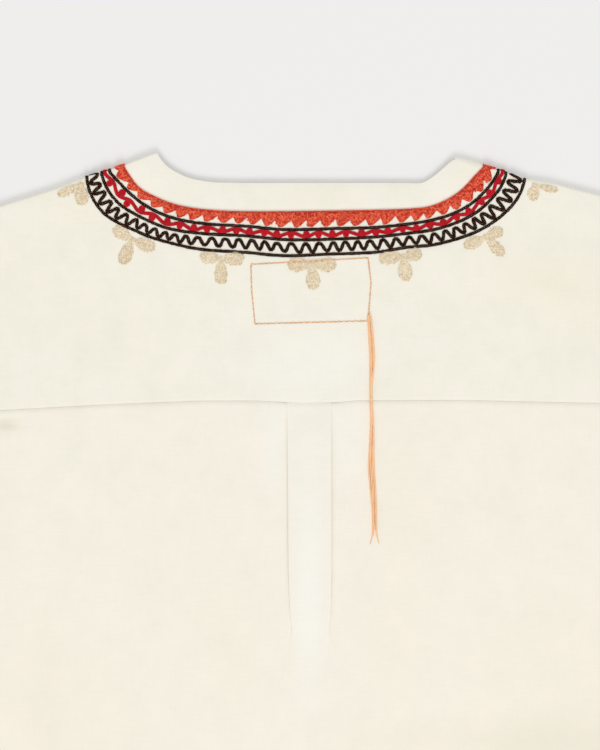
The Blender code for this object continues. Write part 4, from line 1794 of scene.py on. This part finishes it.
        heap = StitchHeap(self.form)
        stem = self.threads.grain(2.9, 1.45, 0.8)
        course = self.beside(middle, centre, swing)
        for n, s in enumerate(course.steps(self.stem_pitch)):
            spot, along = course.spot(s)
            side = self.stem_half * 0.4 * (1 if n % 2 else -1)
            size = (dice.uniform(0.9, 1.1), dice.uniform(0.9, 1.15), 1.0)
            heap.stitch(stem, spot, along, dice.random(), 0.3, size, (0.0, side, 0.26))
        radius = self.berry_radius
        rings = [
            (self.threads.ring(2 * radius, 2 * radius, 0.8, 14, 0.46), 0.3),
            (self.threads.ring(1.12 * radius, 1.12 * radius, 0.8, 10, 0.2), 0.5),
        ]
        base = self.threads.grain(1.8 * radius, 1.8 * radius, 0.9, 10, 5)
        for n, s in enumerate(berries):
            w = middle.mark(s)
            here = self.form.station(w)
            way = 1 if n % 2 else -1
            out = min(max(room(here) - radius * 0.9, 0.0), self.vine_sway + 0.3) * way
            spot = self.form.neck_spot(w, centre(here) + out)
            along = middle.spot(s)[1]
            grow = dice.uniform(0.9, 1.08)
            size = (grow, grow * dice.uniform(0.9, 1.05), 1.0)
            heap.stitch(base, spot, along, 0.8, 0.0, size, (0.0, 0.0, 0.25))
            for ring, lift in rings:
                tone, turn = dice.random() * 0.6, dice.uniform(-1, 1)
                heap.stitch(ring, spot, along, tone, turn, size, (0.0, 0.0, lift))
        return heap.build("vine_stitches")

    def coral(self) -> bpy.types.Object:
        """Filled border under the band, its lower edge in leaning teeth.

        Returns:
            The piece.
        """
        top = Course.round_neck(self.form, lambda here: here.seam - 0.05)
        edge = Course.round_neck(self.form, lambda here: here.inner - self.line_half - self.coral_gap)
        dice = random.Random(71)
        count = round(edge.length / self.tooth_pitch)
        starts = [edge.length * (n + dice.uniform(-0.1, 0.1)) / count for n in range(count + 1)]
        depths = [self.tooth_depth * dice.uniform(0.8, 1.12) for _ in starts]
        steep = [dice.uniform(0.14, 0.3) for _ in starts]

        def reach(s: float, here: Station) -> float:
            """Distance of the border's lower edge at a length along it.

            Args:
                s: The length.
                here: The neck's measures there.

            Returns:
                The distance.
            """
            n = min(max(bisect_left(starts, s), 1), count)
            share = (s - starts[n - 1]) / (starts[n] - starts[n - 1])
            first = steep[n]
            depth = depths[n - 1] + (depths[n] - depths[n - 1]) * share
            depth = min(depth, self.tooth_share * (here.inner - here.seam - self.tooth_room))
            if share < first:
                cut = (1 - share / first) ** 1.3
            elif share < first + self.tooth_foot:
                cut = 0.0
            else:
                cut = ((share - first - self.tooth_foot) / (1 - self.tooth_foot - first)) ** 1.25
            return here.inner - self.line_half - self.coral_gap - depth * min(max(cut, 0.0), 1.0)

        heap = StitchHeap(self.form)
        self.coral_pad(heap, edge, reach)
        fine = ThreadForms(section_sides=4)
        curls = [fine.curl(r, 0.72, math.radians(a), 5) for r, a in ((0.7, 200), (0.9, 160), (0.55, 260))]
        for s in edge.steps(self.coral_step):
            shifted = min(max(s + dice.uniform(-0.5, 0.5), 0.0), edge.length)
            w = edge.mark(shifted)
            here = self.form.station(w)
            low = reach(shifted, here) - self.coral_foot
            distance = here.seam + self.coral_top + dice.uniform(0.0, 0.4)
            along = edge.spot(shifted)[1]
            while distance < low:
                spot = self.form.neck_spot(w, distance)
                tone = 0.1 if dice.random() < self.coral_pale else 0.8
                tone += dice.uniform(-0.1, 0.15)
                offset = (dice.uniform(-0.5, 0.5), 0.0, 0.5 + dice.uniform(-0.08, 0.12))
                heap.stitch(dice.choice(curls), spot, along, tone, dice.uniform(0, 6.28), (1, 1, 0.8), offset)
                distance += self.coral_row * dice.uniform(0.85, 1.15)
        grain = self.threads.grain(2.1, 1.0, 0.8)
        for s in top.steps(self.coral_step):
            spot, along = top.spot(s)
            tone, turn = dice.uniform(0.6, 1.0), dice.uniform(-0.12, 0.12)
            heap.stitch(grain, spot, along, tone, turn, offset=(0.0, 0.0, 0.35))
        return heap.build("coral_stitches")

    def coral_pad(self, heap: StitchHeap, edge: Course, reach: Callable[[float, Station], float]) -> None:
        """Close stitches under the coral curls, so that no cloth shows between them.

        Args:
            heap: Where the pad goes.
            edge: The border's lower line.
            reach: Gives the distance of the toothed edge at a length along that line.
        """
        steps, rows = edge.steps(self.pad_pitch), self.pad_rows
        pad = bmesh.new()
        bmesh.ops.create_grid(pad, x_segments=len(steps) - 1, y_segments=rows, size=0.5)
        for vert in pad.verts:
            s = steps[round((vert.co.x + 0.5) * (len(steps) - 1))]
            share = round((vert.co.y + 0.5) * rows) / rows
            w = edge.mark(s)
            here = self.form.station(w)
            low, high = here.seam + 0.4, max(reach(s, here), here.seam + 0.6)
            spot = self.form.neck_spot(w, low + (high - low) * share)
            crown = 0.42 - 0.3 * abs(2 * share - 1) ** 3
            vert.co = spot.point + spot.normal * crown * spot.loft
        bmesh.ops.recalc_face_normals(pad, faces=pad.faces)
        bmesh.ops.solidify(pad, geom=pad.faces[:], thickness=0.3)
        heap.add(taken_from(pad), Matrix.Identity(4), 0.8)

    def petal_reach(self, angle: float, petals: Sequence[Petal]) -> float:
        """How far a trefoil's outline lies from where its petals meet, in one direction.

        Args:
            angle: The direction in degrees.
            petals: The trefoil's petals.

        Returns:
            The distance.
        """
        reach = self.petal_core
        for petal in petals:
            off = math.radians(angle - petal.turn)
            off = abs((off + math.pi) % math.tau - math.pi) * self.petal_taper * petal.length / petal.width
            if off < math.pi / 2:
                reach = max(reach, petal.length * math.cos(off) ** 0.8)
        return reach

    def trefoil(self, number: int, row: Trefoil) -> bpy.types.Object:
        """One beige trefoil, filled with small knots.

        Args:
            number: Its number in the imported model, from 1.
            row: Its place and its petals.

        Returns:
            The piece.
        """
        dice = random.Random(100 + number)
        heap = StitchHeap(self.form)
        pad = bmesh.new()
        bmesh.ops.create_circle(pad, cap_ends=True, cap_tris=True, segments=72, radius=1.0)
        rim = [vert for vert in pad.verts if vert.is_boundary]
        bmesh.ops.inset_region(pad, faces=pad.faces[:], thickness=0.12, use_boundary=True)
        for vert in pad.verts:
            angle = math.degrees(math.atan2(vert.co.y, vert.co.x))
            reach = self.petal_reach(angle, row.petals) * vert.co.xy.length
            x = row.x + reach * math.cos(math.radians(angle))
            y = min(row.y + reach * math.sin(math.radians(angle)), self.form.fold_start(x))
            lift = -0.1 if vert in rim else 0.3
            vert.co = (x, y, self.form.yoke_top(x, y) + lift)
        bmesh.ops.solidify(pad, geom=pad.faces[:], thickness=0.25)
        heap.add(taken_from(pad), Matrix.Identity(4), 0.35)
        knot = self.threads.knot(1.0, 0.8)
        steps = int(1 + max(petal.length for petal in row.petals) / self.knot_pitch)
        for m in range(-steps, steps + 1):
            for n in range(-steps, steps + 1):
                off_x = (n + 0.5 * (m % 2)) * self.knot_pitch + dice.uniform(-0.18, 0.18)
                off_y = m * self.knot_pitch * 0.87 + dice.uniform(-0.18, 0.18)
                angle = math.degrees(math.atan2(off_y, off_x))
                x, y = row.x + off_x, row.y + off_y
                inside = math.hypot(off_x, off_y) < self.petal_reach(angle, row.petals) - 0.3
                if inside and y < self.form.fold_start(x) - 0.3:
                    spot = self.form.yoke_spot(x, y)
                    grow = dice.uniform(0.8, 1.15)
                    tone, turn = dice.random(), dice.uniform(0, 3)
                    size = (grow, grow, 1.0)
                    heap.stitch(knot, spot, Vector((1, 0, 0)), tone, turn, size, (0.0, 0.0, 0.34))
        return heap.build(f"trefoil_stitches_{number}")


@dataclass
class Sewing:
    """The orange running stitch and its loose threads."""

    form: BlouseForm
    threads: ThreadForms = ThreadForms()
    corners: tuple[Place, ...] = (
        Place(-37.05, -52.98),
        Place(39.0, -48.75),
        Place(40.95, -65.0),
        Place(39.0, -89.7),
        Place(-34.45, -91.65),
        Place(-36.6, -70.0),
        Place(-37.05, -52.98),
    )
    stitch_length: float = 2.5
    stitch_pitch: float = 3.6
    strand_width: float = 1.12
    strand_lengths: tuple[float, ...] = (149.0, 142.0, 139.0, 148.0)
    strand_step: float = 0.9
    sway: float = 0.1
    sway_length: float = 9.0
    twist_length: float = 1.5
    ply_aside: float = 0.12
    ply_rise: float = 0.16
    taper_from: float = 16.0
    taper_reach: float = 22.0
    trefoil_reach: Place = Place(14.0, 4.5)
    spread: tuple[tuple[float, float], ...] = (
        (0.0, 0.53),
        (12.0, 0.72),
        (22.0, 0.84),
        (32.0, 0.80),
        (46.0, 0.32),
        (62.0, 0.26),
        (80.0, 0.70),
        (98.0, 1.08),
        (112.0, 1.06),
        (124.0, 0.80),
        (134.0, 0.66),
        (142.0, 1.00),
        (149.0, 2.10),
    )

    def running(self) -> bpy.types.Object:
        """Running stitch in a rectangle under the back neck.

        Returns:
            The piece.
        """
        dice = random.Random(17)
        heap = StitchHeap(self.form)
        stitch = self.threads.grain(self.stitch_length, 1.25, 0.75, 6, 7)
        # Short, low grains in the dark tone between the stitches paint the shade in the dimples where the
        # thread dives into the cloth.
        dip_shade_grain = self.threads.grain(self.stitch_pitch * 0.7, 0.8, 0.5, 6, 5)
        for start, end in zip(self.corners, self.corners[1:]):
            run = Vector((end.x - start.x, end.y - start.y, 0.0))
            count = 2 * max(round(run.length / self.stitch_pitch), 1)
            for n in range(count):
                share = (n + 0.5 + dice.uniform(-0.08, 0.08)) / count
                x, y = start.x + run.x * share, start.y + run.y * share
                lift = 0.18 + (0.45 if self.crosses_trefoil(x, y) else 0.0)
                size = (dice.uniform(0.88, 1.1), dice.uniform(0.85, 1.15), 1.0)
                # Every other copy is one of those grains of painted shade.
                shape, tone = (dip_shade_grain, dice.uniform(0.65, 0.85)) if n % 2 else (stitch, dice.uniform(0.0, 0.3))
                lift -= 0.08 if n % 2 else 0.0
                spot = self.form.yoke_spot(x, y)
                heap.stitch(shape, spot, run, tone, dice.uniform(-0.1, 0.1), size, (0.0, 0.0, lift))
        return heap.build("running_stitches")

    def crosses_trefoil(self, x: float, y: float) -> bool:
        """Whether a place lies on the middle trefoil's two side petals."""
        trefoil = TREFOILS[len(TREFOILS) // 2]
        return abs(x - trefoil.x) < self.trefoil_reach.x and abs(y - trefoil.y) < self.trefoil_reach.y

    def strands(self) -> bpy.types.Object:
        """Loose thread ends that lie down the back, each of two twisted plies.

        Returns:
            The piece.
        """
        lengths = [0.0]
        for a, b in zip(THREAD_ROUTE, THREAD_ROUTE[1:]):
            lengths.append(lengths[-1] + math.dist(a, b))
        rows = list(zip(lengths, range(len(lengths))))
        curve = bpy.data.curves.new("loose_threads", "CURVE")
        curve.dimensions = "3D"
        curve.bevel_depth = self.strand_width * 0.45 * MM
        curve.bevel_resolution = 1
        curve.use_fill_caps = True
        count = len(self.strand_lengths)
        for strand, length in enumerate(self.strand_lengths):
            for ply in (0, 1):
                line = curve.splines.new("POLY")
                steps = round(length / self.strand_step)
                line.points.add(steps)
                for n, point in enumerate(line.points):
                    down = length * n / steps
                    x, y = glide(THREAD_ROUTE, reading(rows, down))
                    gap = reading(self.spread, down)
                    swayed = self.sway * math.sin(down / self.sway_length + 2.1 * strand)
                    x += (strand - (count - 1) / 2) * gap + swayed
                    stacked = math.sqrt(max(self.strand_width**2 - gap**2, 0.0)) * (strand % 2)
                    turn = down / self.twist_length + math.pi * ply + strand
                    x += self.ply_aside * math.cos(turn)
                    z = self.strand_width * 0.5 + self.ply_rise * math.sin(turn) + stacked
                    surface = self.surface(x, y)
                    point.co = (*self.form.to_frame(Vector((x, y, surface + z))), 1.0)
                    taper = eased((down - length + self.taper_from) / self.taper_reach)
                    point.radius = taper * (0.9 + 0.1 * math.sin(down / 2.3 + strand))
        temporary = bpy.data.objects.new("loose_threads", curve)
        bpy.context.scene.collection.objects.link(temporary)
        mesh = bpy.data.meshes.new_from_object(temporary.evaluated_get(bpy.context.evaluated_depsgraph_get()))
        bpy.data.objects.remove(temporary)
        mesh.shade_smooth()
        item = bpy.data.objects.new("loose_threads", mesh)
        bpy.context.scene.collection.objects.link(item)
        return item

    def surface(self, x: float, y: float) -> float:
        """Height of the cloth under the loose threads.

        Args:
            x: Plan x.
            y: Plan y.

        Returns:
            The height in millimetres.
        """
        if y > reading(YOKE_SEAM, x):
            return self.form.yoke_top(x, y)
        return self.form.panel(x, y, math.inf) - self.form.under_yoke


@dataclass(frozen=True)
class Studio:
    """Floor, lights and the camera at the photo's angle."""

    centre: Place = Place(-5.2, -124.8)
    view_height: float = 487.5
    distance: float = 3.0
    sensor: float = 36.0
    floor_colour: tuple[float, float, float, float] = (0.862, 0.853, 0.838, 1.0)
    world_strength: float = 0.66
    key_energy: float = 66.0
    key_place: tuple[float, float, float] = (0.0, -3.2, 2.2)
    key_size: float = 1.5
    fill_energy: float = 15.0
    fill_place: tuple[float, float, float] = (0.15, 1.9, 2.2)
    fill_size: float = 1.6
    aim: tuple[float, float, float] = (0.0, 0.15, 0.0)

    def camera(self, form: BlouseForm) -> None:
        """Place the camera straight above.

        Args:
            form: The blouse's surfaces.
        """
        lens = bpy.data.cameras.new("camera")
        lens.sensor_width = self.sensor
        lens.lens = self.sensor * self.distance / (self.view_height * MM)
        lens.clip_end = 20.0
        eye = bpy.data.objects.new("camera", lens)
        eye.location = form.to_frame(Vector((self.centre.x, self.centre.y, self.distance / MM)))
        bpy.context.scene.collection.objects.link(eye)
        bpy.context.scene.camera = eye

    def floor(self) -> None:
        """Lay a plain pale floor."""
        sheet = bmesh.new()
        bmesh.ops.create_grid(sheet, x_segments=1, y_segments=1, size=4.0)
        mesh = bpy.data.meshes.new("floor")
        sheet.to_mesh(mesh)
        sheet.free()
        bench = NodeBench("floor paper")
        bench.shade(Base_Color=self.floor_colour, Roughness=0.95, Specular_IOR_Level=0.1)
        mesh.materials.append(bench.material)
        item = bpy.data.objects.new("floor", mesh)
        bpy.context.scene.collection.objects.link(item)

    def light(self, name: str, place: tuple[float, float, float], energy: float, size: float) -> None:
        """Hang a square soft light that faces the blouse.

        Args:
            name: Its name.
            place: Where it hangs, in metres.
            energy: Its power in watts.
            size: Length of its side in metres.
        """
        lamp = bpy.data.lights.new(name, "AREA")
        lamp.energy = energy
        lamp.size = size
        item = bpy.data.objects.new(name, lamp)
        item.location = place
        way = Vector(self.aim) - Vector(place)
        item.rotation_euler = way.to_track_quat("-Z", "Y").to_euler()
        bpy.context.scene.collection.objects.link(item)

    def build(self, form: BlouseForm) -> None:
        """Set up the whole studio.

        Args:
            form: The blouse's surfaces.
        """
        self.camera(form)
        self.floor()
        world = bpy.data.worlds.new("studio")
        world.use_nodes = True
        world.node_tree.nodes["Background"].inputs[0].default_value = (1.0, 1.0, 1.0, 1.0)
        world.node_tree.nodes["Background"].inputs[1].default_value = self.world_strength
        bpy.context.scene.world = world
        bpy.context.scene.view_settings.view_transform = "Standard"
        self.light("key", self.key_place, self.key_energy, self.key_size)
        self.light("fill", self.fill_place, self.fill_energy, self.fill_size)


def make_cloth(form: BlouseForm) -> list[bpy.types.Object]:
    """Build every cloth piece.

    Args:
        form: The blouse's surfaces.

    Returns:
        The pieces.
    """
    linen = LinenFinish("cream linen").build()
    # The back greys from a lower tone, so that the painted shade at its lower corners turns grey.
    back = LinenFinish(
        "cream linen, back", light=(0.925, 0.873, 0.770, 1.0), deep=(0.874, 0.842, 0.732, 1.0), grey_from=0.5
    ).build()
    left = LinenFinish("cream linen, left sleeve", math.radians(-20)).build()
    right = LinenFinish("cream linen, right sleeve", math.radians(20)).build()
    return [
        Yoke(form, "yoke_cloth", "yoke", (0.53, 0.24), 0.082).make(linen),
        Back(form, "back_cloth", "back", (0.60, 0.57), 0.32).make(back),
        Front(form, "front_cloth", "front", (0.58, 0.68), 0.34).make(linen),
        NeckBand(form, "neck_band_cloth", "neck_band", (0.62, 0.024), 0.0125).make(linen),
        Sleeve(form, "sleeve_left_cloth", "sleeve_left", (0.46, 0.29), 0.106, side=Side.LEFT).make(left),
        Sleeve(form, "sleeve_right_cloth", "sleeve_right", (0.47, 0.29), 0.108, side=Side.RIGHT).make(right),
    ]


def make_stitches(form: BlouseForm) -> None:
    """Build everything that is sewn on the cloth.

    Args:
        form: The blouse's surfaces.
    """
    brown = ThreadFinish(
        "dark brown thread", (0.034, 0.011, 0.005, 1.0), (0.013, 0.004, 0.002, 1.0), sheen=0.0, shine=0.04
    ).build()
    coral = ThreadFinish("coral thread", (1.000, 0.195, 0.098, 1.0), (0.600, 0.030, 0.010, 1.0), 0.45).build()
    red = ThreadFinish("red thread", (0.600, 0.008, 0.020, 1.0), (0.380, 0.002, 0.008, 1.0), 0.2).build()
    beige = ThreadFinish("beige thread", (0.960, 0.870, 0.690, 1.0), (0.710, 0.570, 0.370, 1.0), 0.25).build()
    # The orange's dark tone is used only by the grains of painted shade between the running stitches.
    orange = ThreadFinish("orange thread", (1.000, 0.615, 0.350, 1.0), (0.480, 0.300, 0.190, 1.0)).build()
    work = Embroidery(form)
    work.finish(work.coral(), ["coral_border"], Slot.CORAL, coral)
    lines = {
        "inner": lambda here: here.inner,
        "middle": lambda here: here.middle,
        "outer": lambda here: here.outer,
    }
    for seed, (place, distance) in enumerate(lines.items()):
        line = work.dark_line(f"{place}_line_stitches", distance, seed)
        work.finish(line, [f"dark_line_{place}"], Slot.BROWN, brown)
    work.finish(work.vine(), ["beaded_vine"], Slot.RED, red)
    work.finish(work.wave(), ["dark_wave"], Slot.BROWN, brown)
    for number, row in enumerate(TREFOILS, 1):
        work.finish(work.trefoil(number, row), [f"trefoil_{number}"], Slot.BEIGE, beige)
    sewing = Sewing(form)
    work.finish(sewing.running(), [], Slot.ORANGE, orange)
    work.finish(sewing.strands(), ["thread_ends"], Slot.ORANGE, orange)


def main() -> None:
    """Build the whole scene."""
    logging.basicConfig(level=logging.INFO, format="%(name)s %(message)s")
    form = BlouseForm()
    Studio().build(form)
    for piece in make_cloth(form):
        log.info("%s: %d faces", piece.name, len(piece.data.polygons))
    make_stitches(form)


if __name__ == "__main__":
    main()
